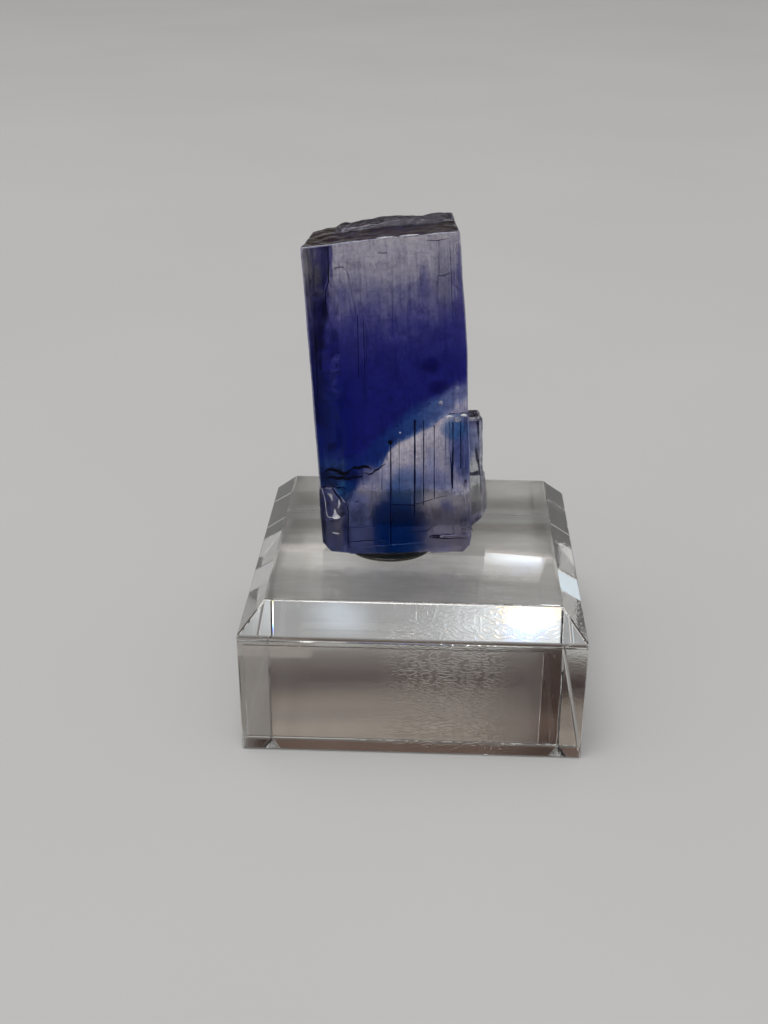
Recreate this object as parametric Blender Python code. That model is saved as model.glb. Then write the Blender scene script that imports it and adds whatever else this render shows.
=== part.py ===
"""Blue halite crystal fixed on a clear acrylic block with a label film.

Frame: metres, +Z up, origin at the centre of the block's underside. -Y is the front, where the
label is, and +X is to the viewer's right. The crystal is modelled in a frame of its own, with X
across its front, Y towards its back and Z up its length, and is then seated on the block with a
slight turn and lean.
"""

import math

import bmesh
import bpy
from mathutils import Matrix, Vector

MM = 0.001
CONTACT_GAP = 0.02 * MM  # air between flat faces that touch

# Acrylic block
BASE_SIDE = 38.1 * MM
BASE_HEIGHT = 18.0 * MM
BEVEL_INSET = 2.9 * MM
BEVEL_DROP = 3.15 * MM
BASE_EDGE_ROUND = 0.25 * MM

# Label film on the block's front face
LABEL_WIDTH = 32.6 * MM
LABEL_HEIGHT = 12.0 * MM
LABEL_THICKNESS = 0.16 * MM
LABEL_LEFT_MARGIN = 0.7 * MM
LABEL_TOP_MARGIN = 0.9 * MM
LABEL_CORNER = 0.4 * MM

# Adhesive pad between block and crystal
TACK_HALF_WIDTH = 5.0 * MM
TACK_HALF_DEPTH = 4.3 * MM
TACK_THICKNESS = 0.36 * MM
TACK_CENTRE = Vector((-3.1, -2.9, 0.0)) * MM
TACK_SEGMENTS = 64
TACK_ROUND = 0.16 * MM

# Crystal: its prism, in its own frame
PRISM_LEFT = -8.35 * MM
PRISM_RIGHT = 9.6 * MM
PRISM_FRONT = -5.0 * MM
PRISM_BACK = 5.0 * MM
PRISM_TOP = 36.2 * MM  # above the cleaved top
TOP_EDGE = 35.78 * MM  # the cleaved top, at the middle of its front edge
PRISM_FOOT = -3.0 * MM  # below the cut that seats it
EDGE_ROUND = 0.18 * MM

# Crystal: its seat on the block
UNDERSIDE = BASE_HEIGHT + TACK_THICKNESS + 2 * CONTACT_GAP
SEAT = Vector((-2.78, -0.35, 18.95)) * MM
SEAT_PITCH = math.radians(-2.5)
SEAT_LEAN = math.radians(-3.0)
SEAT_YAW = math.radians(6.0)


def clear_scene():
    """Removes whatever the scene holds."""
    for thing in list(bpy.data.objects):
        bpy.data.objects.remove(thing, do_unlink=True)


def finish(name, colour, roughness, transmission, ior):
    """Returns a see-through Principled material."""
    material = bpy.data.materials.new(name)
    material.use_nodes = True
    shader = material.node_tree.nodes["Principled BSDF"]
    shader.inputs["Base Color"].default_value = (*colour, 1.0)
    shader.inputs["Roughness"].default_value = roughness
    shader.inputs["Metallic"].default_value = 0.0
    shader.inputs["Transmission Weight"].default_value = transmission
    shader.inputs["IOR"].default_value = ior
    return material


def add_object(name, bm, material=None):
    """Puts a finished bmesh in the scene as a named object."""
    bmesh.ops.recalc_face_normals(bm, faces=bm.faces)
    mesh = bpy.data.meshes.new(name)
    bm.to_mesh(mesh)
    bm.free()
    thing = bpy.data.objects.new(name, mesh)
    bpy.context.scene.collection.objects.link(thing)
    if material:
        mesh.materials.append(material)
    return thing


def box(low, high):
    """Returns a bmesh box between two corners."""
    bm = bmesh.new()
    bmesh.ops.create_cube(bm, size=1.0)
    low, high = Vector(low), Vector(high)
    bmesh.ops.scale(bm, vec=high - low, verts=bm.verts)
    bmesh.ops.translate(bm, vec=(low + high) / 2, verts=bm.verts)
    return bm


def round_edges(thing, width, segments=2, angle=math.radians(25)):
    """Rounds the object's sharp edges with a Bevel modifier."""
    bevel = thing.modifiers.new("edge_round", "BEVEL")
    bevel.width = width
    bevel.segments = segments
    bevel.limit_method = "ANGLE"
    bevel.angle_limit = angle


def cleave(bm, point, normal):
    """Splits the block along a plane, drops what the normal points to and closes the cut."""
    geometry = list(bm.verts) + list(bm.edges) + list(bm.faces)
    cut = bmesh.ops.bisect_plane(
        bm, geom=geometry, plane_co=Vector(point), plane_no=Vector(normal), dist=1e-8, clear_outer=True
    )
    rim = [item for item in cut["geom_cut"] if isinstance(item, bmesh.types.BMEdge)]
    bmesh.ops.contextual_create(bm, geom=rim)


def build_base():
    """The block: straight sides, then a bevel all round up to the smaller top face."""
    half = BASE_SIDE / 2
    bm = box((-half, -half, 0.0), (half, half, BASE_HEIGHT - BEVEL_DROP))
    top = max(bm.faces, key=lambda face: face.calc_center_median().z)
    raised = bmesh.ops.extrude_discrete_faces(bm, faces=[top])["faces"][0]
    bmesh.ops.translate(bm, vec=(0.0, 0.0, BEVEL_DROP), verts=raised.verts)
    shrink = (BASE_SIDE - 2 * BEVEL_INSET) / BASE_SIDE
    bmesh.ops.scale(bm, vec=(shrink, shrink, 1.0), verts=raised.verts)
    block = add_object("acrylic_base", bm, finish("clear_acrylic", (0.93, 0.94, 0.93), 0.03, 1.0, 1.49))
    round_edges(block, BASE_EDGE_ROUND)
    return block


def build_label():
    """The film: a thin sheet with rounded corners, flat against the block's front face."""
    left = -BASE_SIDE / 2 + LABEL_LEFT_MARGIN
    top = BASE_HEIGHT - BEVEL_DROP - LABEL_TOP_MARGIN
    back = -BASE_SIDE / 2 - CONTACT_GAP
    bm = box((left, back - LABEL_THICKNESS, top - LABEL_HEIGHT), (left + LABEL_WIDTH, back, top))
    corners = [edge for edge in bm.edges if abs((edge.verts[0].co - edge.verts[1].co).y) > LABEL_THICKNESS / 2]
    bmesh.ops.bevel(bm, geom=corners, offset=LABEL_CORNER, segments=3, profile=0.5, affect="EDGES")
    return add_object("label_film", bm, finish("label_clear", (0.92, 0.91, 0.90), 0.12, 0.9, 1.5))


def build_tack():
    """The pad: an oval disc with a rounded rim, pressed flat between block and crystal."""
    bm = bmesh.new()
    bmesh.ops.create_cone(
        bm, cap_ends=True, segments=TACK_SEGMENTS, radius1=1.0, radius2=1.0, depth=TACK_THICKNESS
    )
    bmesh.ops.scale(bm, vec=(TACK_HALF_WIDTH, TACK_HALF_DEPTH, 1.0), verts=bm.verts)
    pad = add_object("mounting_tack", bm, finish("clear_adhesive", (0.75, 0.76, 0.66), 0.2, 0.8, 1.45))
    pad.location = TACK_CENTRE + Vector((0.0, 0.0, BASE_HEIGHT + CONTACT_GAP + TACK_THICKNESS / 2))
    round_edges(pad, TACK_ROUND)
    return pad


def seat_matrix():
    """Where the crystal's own frame stands on the block."""
    turn = (
        Matrix.Rotation(SEAT_YAW, 4, "Z")
        @ Matrix.Rotation(SEAT_PITCH, 4, "X")
        @ Matrix.Rotation(SEAT_LEAN, 4, "Y")
    )
    return Matrix.Translation(SEAT) @ turn


def build_prism(material):
    """The main crystal: a tall block bounded by cleavage planes."""
    bm = box((PRISM_LEFT, PRISM_FRONT, PRISM_FOOT), (PRISM_RIGHT, PRISM_BACK, PRISM_TOP))
    cleave(bm, (-8.25 * MM, PRISM_FRONT, 0.0), (-1.0, 0.15, 0.0))  # left side, drawn in to the back
    cleave(bm, (-6.9 * MM, 3.4 * MM, 0.0), (-0.66, 0.75, 0.0))  # chamfer on the back left edge
    cleave(bm, (9.15 * MM, PRISM_FRONT, 23.0 * MM), (1.0, -0.03, 0.039))  # right side, upper half
    cleave(bm, (9.15 * MM, PRISM_FRONT, 23.0 * MM), (1.0, -0.03, -0.018))  # right side, lower half
    cleave(bm, (0.0, PRISM_FRONT, TOP_EDGE), (-0.055, 0.03, 1.0))  # top, falling to the left and back
    cleave(bm, (0.0, PRISM_FRONT, TOP_EDGE), (-0.02, 0.03, 1.0))
    cleave(bm, (7.9 * MM, PRISM_FRONT, 0.0), (0.33, -0.944, 0.0))  # narrow facet down the front right edge
    prism = add_object("halite_crystal", bm, material)
    round_edges(prism, EDGE_ROUND)
    return prism


GROWTHS = {
    # name: (low corner, high corner) in millimetres, in the crystal's frame
    "growth_side": ((7.0, -0.3, -3.0), (11.15, 3.0, 13.4)),
    "growth_side_foot": ((7.5, 0.35, -3.0), (11.5, 3.9, 5.6)),
    "growth_front_ledge": ((6.6, -5.22, -3.0), (9.0, -1.5, 15.8)),
    "growth_middle_foot": ((-5.9, -5.3, -3.0), (5.0, -2.0, 0.2)),
    "growth_right_foot": ((3.9, -5.55, -3.0), (8.65, -2.0, 1.1)),
    "growth_left_foot": ((-8.5, -4.2, -3.0), (-5.6, -1.0, 6.3)),
}
GROWTH_CHAMFER = 0.3 * MM
TOP_STEP = ((-4.6, 1.0, 33.5), (9.35, 4.97, 36.25))  # low and high corner, millimetres


def cutter(name, bm, parent=None):
    """A shape that only cuts or joins: it is drawn as wire and isn't a piece."""
    thing = add_object(name, bm)
    thing.hide_render = True
    thing.display_type = "WIRE"
    thing.parent = parent
    return thing


def combine(body, tool, operation):
    """Adds a Boolean modifier with the exact solver."""
    modifier = body.modifiers.new(tool.name, "BOOLEAN")
    modifier.operation = operation
    modifier.solver = "EXACT"
    modifier.object = tool


def build_crystal():
    """The crystal: its prism, what grew on it, a chipped corner, and a flat cut where it is seated."""
    prism = build_prism(finish("blue_halite", (0.20, 0.20, 0.62), 0.06, 1.0, 1.544))
    prism.matrix_world = seat_matrix()

    chip = box((-10.0 * MM, -7.0 * MM, -4.0 * MM), (-5.3 * MM, -4.99 * MM, 7.9 * MM))
    turn = Matrix.Rotation(math.radians(-15.0), 3, "Z")
    bmesh.ops.rotate(chip, cent=(-5.3 * MM, -4.99 * MM, 0.0), matrix=turn, verts=chip.verts)
    combine(prism, cutter("chip_left_foot", chip, prism), "DIFFERENCE")

    for name, (low, high) in GROWTHS.items():
        bm = box(Vector(low) * MM, Vector(high) * MM)
        bmesh.ops.bevel(bm, geom=bm.edges[:], offset=GROWTH_CHAMFER, segments=1, affect="EDGES")
        combine(prism, cutter(name, bm, prism), "UNION")

    step = box(Vector(TOP_STEP[0]) * MM, Vector(TOP_STEP[1]) * MM)
    cleave(step, (-4.6 * MM, 0.0, 35.1 * MM), (-0.5, 0.0, 1.0))  # its left end rises from the prism's top
    cleave(step, (-3.2 * MM, 0.0, 35.72 * MM), (-0.075, 0.0, 1.0))
    cleave(step, (2.0 * MM, 0.0, 36.12 * MM), (0.028, 0.0, 1.0))
    cleave(step, (9.2 * MM, 4.9 * MM, 35.95 * MM), (1.0, 0.0, 0.5))
    cleave(step, (0.0, 1.0 * MM, 35.4 * MM), (0.0, -0.7, 1.0))
    combine(prism, cutter("growth_top_step", step, prism), "UNION")

    reach = 2 * BASE_SIDE
    below = box((-reach, -reach, 0.0), (reach, reach, UNDERSIDE))
    combine(prism, cutter("seat_cut", below), "DIFFERENCE")
    return prism


def main():
    clear_scene()
    build_base()
    build_label()
    build_tack()
    build_crystal()


main()
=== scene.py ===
"""Looks of a blue halite crystal fixed on a clear acrylic block, with a blank label film on its front.

Every piece is modelled in millimetres and brought to metres when it is finished. The crystal, and all
that is sealed in it, is modelled in the crystal's own frame, with X across its front, Y towards its back
and Z up its length, and is then seated on the block by one transform.
"""

import logging
import math
from dataclasses import dataclass
from enum import Enum
from typing import Sequence

import bpy
from mathutils import Matrix, Vector

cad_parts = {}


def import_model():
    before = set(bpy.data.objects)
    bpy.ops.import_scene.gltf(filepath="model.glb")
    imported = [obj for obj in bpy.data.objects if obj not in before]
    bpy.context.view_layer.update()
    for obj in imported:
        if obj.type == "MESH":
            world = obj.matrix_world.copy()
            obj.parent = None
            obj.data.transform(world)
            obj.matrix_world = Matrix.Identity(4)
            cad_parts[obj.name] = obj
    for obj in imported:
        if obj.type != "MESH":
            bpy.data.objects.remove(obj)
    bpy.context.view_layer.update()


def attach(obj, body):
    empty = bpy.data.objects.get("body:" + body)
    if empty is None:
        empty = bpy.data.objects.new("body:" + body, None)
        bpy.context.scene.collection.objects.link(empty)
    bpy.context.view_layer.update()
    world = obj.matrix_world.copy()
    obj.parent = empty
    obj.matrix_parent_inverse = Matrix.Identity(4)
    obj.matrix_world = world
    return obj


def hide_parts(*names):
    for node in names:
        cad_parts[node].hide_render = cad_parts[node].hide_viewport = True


LOG = logging.getLogger("halite")
MM = 0.001
BODY = "root"

Point = tuple[float, float, float]
Colour = tuple[float, float, float]
Line = Sequence[tuple[float, float]]
Stops = Sequence[tuple[float, Colour]]
Route = Sequence[tuple[Point, float]]
Socket = bpy.types.NodeSocket
Thing = bpy.types.Object

HALITE_IOR = 1.544
WHITE = (1.0, 1.0, 1.0)
WELD = 1e-6
PLANE_SNAP = 1e-5
SHARP_EDGE = 25.0
ROD_SIDES = 8


class Slot(Enum):
    """The record's material slots."""

    HALITE = "halite"
    ADHESIVE = "adhesive"
    ACRYLIC = "acrylic"
    LABEL = "label"


class Join(Enum):
    """How a tool shape acts on the piece it meets."""

    ADD = "UNION"
    CUT = "DIFFERENCE"


class Along(Enum):
    """The three directions of a piece's own frame."""

    X = 0
    Y = 1
    Z = 2


# ---------------------------------------------------------------------------------------------------------
# Modelling by operators
# ---------------------------------------------------------------------------------------------------------


def pick(thing: Thing) -> None:
    """Selects one object alone and makes it the active one.

    Args:
        thing: The object that the next operators act on.
    """
    if bpy.context.object and bpy.context.object.mode != "OBJECT":
        bpy.ops.object.mode_set(mode="OBJECT")
    bpy.ops.object.select_all(action="DESELECT")
    thing.select_set(True)
    bpy.context.view_layer.objects.active = thing


def settle(thing: Thing) -> None:
    """Bakes the object's place, turn and scale into its mesh."""
    pick(thing)
    bpy.ops.object.transform_apply(location=True, rotation=True, scale=True)


def block(name: str, low: Point, high: Point) -> Thing:
    """Adds a box between two corners.

    Args:
        name: The new object's name.
        low: The corner with the lowest coordinates, in millimetres.
        high: The corner with the highest coordinates, in millimetres.

    Returns:
        The box, with its place and size in its mesh.
    """
    bpy.ops.object.select_all(action="DESELECT")
    low_corner, high_corner = Vector(low), Vector(high)
    bpy.ops.mesh.primitive_cube_add(size=1.0, location=(low_corner + high_corner) / 2)
    thing = bpy.context.object
    thing.name = name
    thing.scale = high_corner - low_corner
    settle(thing)
    return thing


def cleave(thing: Thing, point: Point, normal: Point) -> None:
    """Splits a piece along a plane and closes the cut, as a blow on a cleavage direction does.

    Args:
        thing: The piece.
        point: A point on the plane.
        normal: Points to the side that falls away.
    """
    pick(thing)
    bpy.ops.object.mode_set(mode="EDIT")
    bpy.ops.mesh.select_all(action="SELECT")
    bpy.ops.mesh.bisect(
        plane_co=point, plane_no=normal, use_fill=True, clear_outer=True, threshold=PLANE_SNAP
    )
    bpy.ops.object.mode_set(mode="OBJECT")


def score(thing: Thing, along: Along, start: float, stop: float, step: float) -> None:
    """Cuts parallel lines round a piece, so that its faces can take relief.

    Args:
        thing: The piece.
        along: The direction that the lines are spaced along.
        start: The first line's coordinate.
        stop: No line goes past this coordinate.
        step: The distance between lines.
    """
    pick(thing)
    bpy.ops.object.mode_set(mode="EDIT")
    normal = [0.0, 0.0, 0.0]
    normal[along.value] = 1.0
    for index in range(int((stop - start) / step) + 1):
        place = [0.0, 0.0, 0.0]
        place[along.value] = start + index * step
        bpy.ops.mesh.select_all(action="SELECT")
        bpy.ops.mesh.bisect(plane_co=place, plane_no=normal, threshold=PLANE_SNAP)
    bpy.ops.object.mode_set(mode="OBJECT")


def modify(thing: Thing, kind: str, **settings: object) -> None:
    """Adds a modifier and applies it.

    Args:
        thing: The piece.
        kind: The modifier's type.
        **settings: The modifier's settings by name.
    """
    pick(thing)
    modifier = thing.modifiers.new(kind.lower(), kind)
    for name, value in settings.items():
        setattr(modifier, name, value)
    bpy.ops.object.modifier_apply(modifier=modifier.name)


def soften(thing: Thing, width: float, segments: int = 2, skin: int = -1) -> None:
    """Rounds a piece's edges that are sharper than SHARP_EDGE.

    Args:
        thing: The piece.
        width: The rounding's width.
        segments: How many faces the rounding has.
        skin: The index of the rounding's own finish, or -1 for its neighbours' finish.
    """
    modify(
        thing,
        "BEVEL",
        width=width,
        segments=segments,
        limit_method="ANGLE",
        angle_limit=math.radians(SHARP_EDGE),
        material=skin,
    )


def rod(name: str, path: Route, deep: float = 1.0, level: bool = False) -> Thing:
    """Draws a thin closed rod by extruding a disc from point to point.

    Args:
        name: The new object's name.
        path: The points that it runs through, each with the rod's radius there.
        deep: How many times the rod is deeper, along Y, than it is wide.
        level: Whether it runs across rather than up.

    Returns:
        The rod, closed at both ends.
    """
    bpy.ops.object.select_all(action="DESELECT")
    start, radius = path[0]
    turn = (0.0, math.pi / 2, 0.0) if level else (0.0, 0.0, 0.0)
    bpy.ops.mesh.primitive_circle_add(
        vertices=ROD_SIDES, radius=radius, fill_type="NGON", location=start, rotation=turn
    )
    thing = bpy.context.object
    thing.name = name
    thing.scale = (1.0, deep, 1.0)
    settle(thing)
    bpy.ops.object.mode_set(mode="EDIT")
    bpy.ops.mesh.select_all(action="SELECT")
    for (here, thick), (there, thin) in zip(path, path[1:]):
        step = Vector(there) - Vector(here)
        bpy.ops.mesh.extrude_region_move(TRANSFORM_OT_translate={"value": step})
        ratio = thin / thick
        bpy.ops.transform.resize(value=(ratio, ratio, ratio), center_override=there)
    bpy.ops.mesh.select_all(action="SELECT")
    bpy.ops.mesh.normals_make_consistent(inside=False)
    bpy.ops.object.mode_set(mode="OBJECT")
    return thing


def unite(name: str, things: Sequence[Thing]) -> Thing:
    """Puts several closed bodies into one object.

    Args:
        name: The object's name.
        things: The bodies.

    Returns:
        The object that holds them all.
    """
    pick(things[0])
    for thing in things:
        thing.select_set(True)
    bpy.ops.object.join()
    whole = bpy.context.object
    whole.name = name
    return whole


def combine(piece: Thing, tool: Thing, join: Join) -> None:
    """Joins a tool shape to a piece, or cuts it out, and removes the tool.

    Args:
        piece: The piece that stays.
        tool: The shape that is used up.
        join: What the tool does.
    """
    modify(piece, "BOOLEAN", operation=join.value, solver="MANIFOLD", object=tool)
    bpy.data.objects.remove(tool, do_unlink=True)


@dataclass(frozen=True)
class Relief:
    """A natural roughness of a surface: a cloudy pattern, stretched along the directions it runs in.

    Attributes:
        height: How far it moves the surface, from its deepest to its highest.
        stretch: The size of the pattern along X, Y and Z.
        depth: How many finer layers the pattern has.
        terraces: How many flat steps the height is cut into, or 0 for a smooth relief.
        shift: Moves the pattern, so that two pieces don't show the same one.
    """

    height: float
    stretch: Point
    depth: int = 2
    terraces: int = 0
    shift: Point = (0.0, 0.0, 0.0)

    def press(self, thing: Thing) -> None:
        """Moves the piece's surface along its normals by this relief.

        Args:
            thing: The piece, cut finely enough to show it.
        """
        texture = bpy.data.textures.new("relief", "CLOUDS")
        texture.noise_scale = 1.0
        texture.noise_depth = self.depth
        if self.terraces:
            self._terrace(texture)
        guide = bpy.data.objects.new("relief_guide", None)
        bpy.context.scene.collection.objects.link(guide)
        guide.location = self.shift
        guide.scale = self.stretch
        bpy.context.view_layer.update()
        modify(
            thing,
            "DISPLACE",
            texture=texture,
            texture_coords="OBJECT",
            texture_coords_object=guide,
            strength=self.height,
            mid_level=0.5,
        )
        bpy.data.objects.remove(guide, do_unlink=True)
        bpy.data.textures.remove(texture)

    def _terrace(self, texture: bpy.types.Texture) -> None:
        """Turns the cloud's smooth grey into flat steps with a colour ramp.

        Args:
            texture: The cloud texture.
        """
        texture.use_color_ramp = True
        ramp = texture.color_ramp
        ramp.interpolation = "CONSTANT"
        while len(ramp.elements) > 1:
            ramp.elements.remove(ramp.elements[-1])
        for index in range(self.terraces):
            share = index / self.terraces
            stop = ramp.elements[0] if index == 0 else ramp.elements.new(0.25 + 0.5 * share)
            level = index / (self.terraces - 1)
            stop.color = (level, level, level, 1.0)


def shade(thing: Thing, degrees: float) -> None:
    """Shades a piece smooth, apart from the edges sharper than an angle.

    Args:
        thing: The piece.
        degrees: The angle.
    """
    pick(thing)
    bpy.ops.object.shade_smooth_by_angle(angle=math.radians(degrees))


def turn_in_place(thing: Thing, degrees: float, axis: Along, pivot: Point) -> None:
    """Turns a piece's mesh about a line, in edit mode.

    Args:
        thing: The piece.
        degrees: How far it turns.
        axis: The direction of the line.
        pivot: A point on the line.
    """
    pick(thing)
    bpy.ops.object.mode_set(mode="EDIT")
    bpy.ops.mesh.select_all(action="SELECT")
    bpy.ops.transform.rotate(
        value=math.radians(degrees), orient_axis=axis.name, center_override=pivot
    )
    bpy.ops.object.mode_set(mode="OBJECT")


def outward(thing: Thing) -> None:
    """Closes tiny seams and turns every face outwards.

    Args:
        thing: The closed piece.
    """
    pick(thing)
    bpy.ops.object.mode_set(mode="EDIT")
    bpy.ops.mesh.select_all(action="SELECT")
    bpy.ops.mesh.remove_doubles(threshold=WELD)
    bpy.ops.mesh.normals_make_consistent(inside=False)
    bpy.ops.object.mode_set(mode="OBJECT")


# ---------------------------------------------------------------------------------------------------------
# The crystal's own frame
# ---------------------------------------------------------------------------------------------------------


@dataclass(frozen=True)
class Seat:
    """Where the crystal's own frame stands on the block.

    Attributes:
        place: The frame's origin, at the middle of the crystal's foot, in millimetres.
        pitch: Turn about X, in degrees.
        lean: Turn about Y, in degrees.
        yaw: Turn about Z, in degrees.
        underside: The height of the crystal's flat foot over the floor, in millimetres.
    """

    place: Point = (-2.78, -0.35, 18.95)
    pitch: float = -2.5
    lean: float = -3.0
    yaw: float = 6.0
    underside: float = 18.4

    def turn(self) -> Matrix:
        """The crystal's turn: it leans first, then tips, then swings.

        Returns:
            The turn, with no shift.
        """
        return (
            Matrix.Rotation(math.radians(self.yaw), 4, "Z")
            @ Matrix.Rotation(math.radians(self.pitch), 4, "X")
            @ Matrix.Rotation(math.radians(self.lean), 4, "Y")
        )

    def matrix(self) -> Matrix:
        """From the crystal's millimetres to the block's, still in millimetres."""
        return Matrix.Translation(Vector(self.place)) @ self.turn()

    def seat(self, thing: Thing) -> None:
        """Moves a piece from the crystal's frame to its real place, in metres.

        Args:
            thing: A piece modelled in the crystal's frame.
        """
        thing.matrix_world = Matrix.Diagonal((MM, MM, MM, 1.0)) @ self.matrix()
        settle(thing)

    def cut_foot(self, thing: Thing) -> None:
        """Cuts a piece flat along the block's top, while it is still in the crystal's frame.

        Args:
            thing: A piece that reaches below the foot.
        """
        inverse = self.matrix().inverted()
        point = inverse @ Vector((0.0, 0.0, self.underside))
        normal = inverse.to_3x3() @ Vector((0.0, 0.0, -1.0))
        cleave(thing, tuple(point), tuple(normal))


def to_metres(thing: Thing) -> None:
    """Brings a piece modelled in the block's frame from millimetres to metres."""
    thing.scale = (MM, MM, MM)
    settle(thing)


# ---------------------------------------------------------------------------------------------------------
# Finishes
# ---------------------------------------------------------------------------------------------------------


class Nodes:
    """A node tree, with short calls for the nodes that the finishes and the sky use."""

    def __init__(self, tree: bpy.types.NodeTree) -> None:
        """Takes a tree to add nodes to.

        Args:
            tree: The tree.
        """
        self.tree = tree

    def node(self, kind: str, **settings: object) -> bpy.types.Node:
        """Adds a node.

        Args:
            kind: The node's type.
            **settings: Its settings by name.

        Returns:
            The node.
        """
        made = self.tree.nodes.new(kind)
        for name, value in settings.items():
            setattr(made, name, value)
        return made

    def feed(self, socket: Socket, value: object) -> None:
        """Links a socket to another one, or sets it to a plain value.

        Args:
            socket: The input.
            value: An output to link to it, or a plain value.
        """
        if isinstance(value, Socket):
            self.tree.links.new(value, socket)
        else:
            socket.default_value = value

    def math(self, operation: str, first: object, second: object = 0.0) -> Socket:
        """A Math node's result.

        Args:
            operation: The node's operation.
            first: Its first input.
            second: Its second input.

        Returns:
            The result.
        """
        made = self.node("ShaderNodeMath", operation=operation)
        self.feed(made.inputs[0], first)
        self.feed(made.inputs[1], second)
        return made.outputs[0]

    def span(self, value: object, low: float, high: float) -> Socket:
        """0 at low and 1 at high, smooth between them; low may be over high.

        Args:
            value: What is looked at.
            low: The value that gives 0.
            high: The value that gives 1.

        Returns:
            The share, from 0 to 1.
        """
        made = self.node("ShaderNodeMapRange", interpolation_type="SMOOTHSTEP")
        self.feed(made.inputs["Value"], value)
        made.inputs["From Min"].default_value = low
        made.inputs["From Max"].default_value = high
        return made.outputs["Result"]

    def noise(self, vector: object, scale: float, detail: float = 3.0, roughness: float = 0.5) -> Socket:
        """A Noise Texture's grey.

        Args:
            vector: The coordinates.
            scale: How many clouds fit in one unit.
            detail: How many finer layers it has.
            roughness: How strong the finer layers are.

        Returns:
            The grey, mostly between 0.3 and 0.7.
        """
        made = self.node("ShaderNodeTexNoise")
        self.feed(made.inputs["Vector"], vector)
        made.inputs["Scale"].default_value = scale
        made.inputs["Detail"].default_value = detail
        made.inputs["Roughness"].default_value = roughness
        return made.outputs["Fac"]

    def ramp(self, value: object, stops: Stops) -> Socket:
        """A Color Ramp's colour.

        Args:
            value: The place along the ramp.
            stops: The places and colours that it runs through, at most 32.

        Returns:
            The colour.
        """
        made = self.node("ShaderNodeValToRGB")
        self.feed(made.inputs["Fac"], value)
        elements = made.color_ramp.elements
        while len(elements) < len(stops):
            elements.new(1.0)
        for element, (place, colour) in zip(elements, stops):
            element.position = place
            element.color = (*colour, 1.0)
        return made.outputs["Color"]

    def blend(self, share: object, first: object, second: object, kind: str = "MIX") -> Socket:
        """A Mix node's colour.

        Args:
            share: How much of the second colour there is.
            first: The first colour.
            second: The second colour.
            kind: How the second is laid over the first.

        Returns:
            The colour.
        """
        made = self.node("ShaderNodeMix", data_type="RGBA", blend_type=kind)
        self.feed(made.inputs["Factor"], share)
        for socket, value in ((made.inputs[6], first), (made.inputs[7], second)):
            self.feed(socket, (*value, 1.0) if isinstance(value, tuple) else value)
        return made.outputs[2]

    def apart(self, vector: object) -> tuple[Socket, ...]:
        """A vector's X, Y and Z.

        Args:
            vector: The vector.

        Returns:
            The three numbers.
        """
        made = self.node("ShaderNodeSeparateXYZ")
        self.feed(made.inputs[0], vector)
        return tuple(made.outputs)

    def vector(self, operation: str, first: object, second: object) -> Socket:
        """A Vector Math node's result, a vector or, for a distance or a product, a number.

        Args:
            operation: The node's operation.
            first: Its first input.
            second: Its second input.

        Returns:
            The result.
        """
        made = self.node("ShaderNodeVectorMath", operation=operation)
        self.feed(made.inputs[0], first)
        self.feed(made.inputs[1], second)
        number = operation in ("DISTANCE", "DOT_PRODUCT", "LENGTH")
        return made.outputs["Value" if number else "Vector"]

    def curve(self, value: object, points: Line) -> Socket:
        """A line drawn through points.

        Args:
            value: The place along the line.
            points: The line's points, in rising order, each a place and the line's height there.

        Returns:
            The line's height at the value.
        """
        start, reach = points[0][0], points[-1][0] - points[0][0]
        low = min(height for _, height in points)
        rise = max(height for _, height in points) - low
        made = self.node("ShaderNodeFloatCurve")
        self.feed(made.inputs["Value"], self.math("DIVIDE", self.math("SUBTRACT", value, start), reach))
        line = made.mapping.curves[0]
        while len(line.points) < len(points):
            line.points.new(0.5, 0.5)
        for point, (place, height) in zip(line.points, points):
            point.location = ((place - start) / reach, (height - low) / rise)
            point.handle_type = "AUTO_CLAMPED"
        made.mapping.update()
        return self.math("ADD", self.math("MULTIPLY", made.outputs[0], rise), low)


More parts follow.
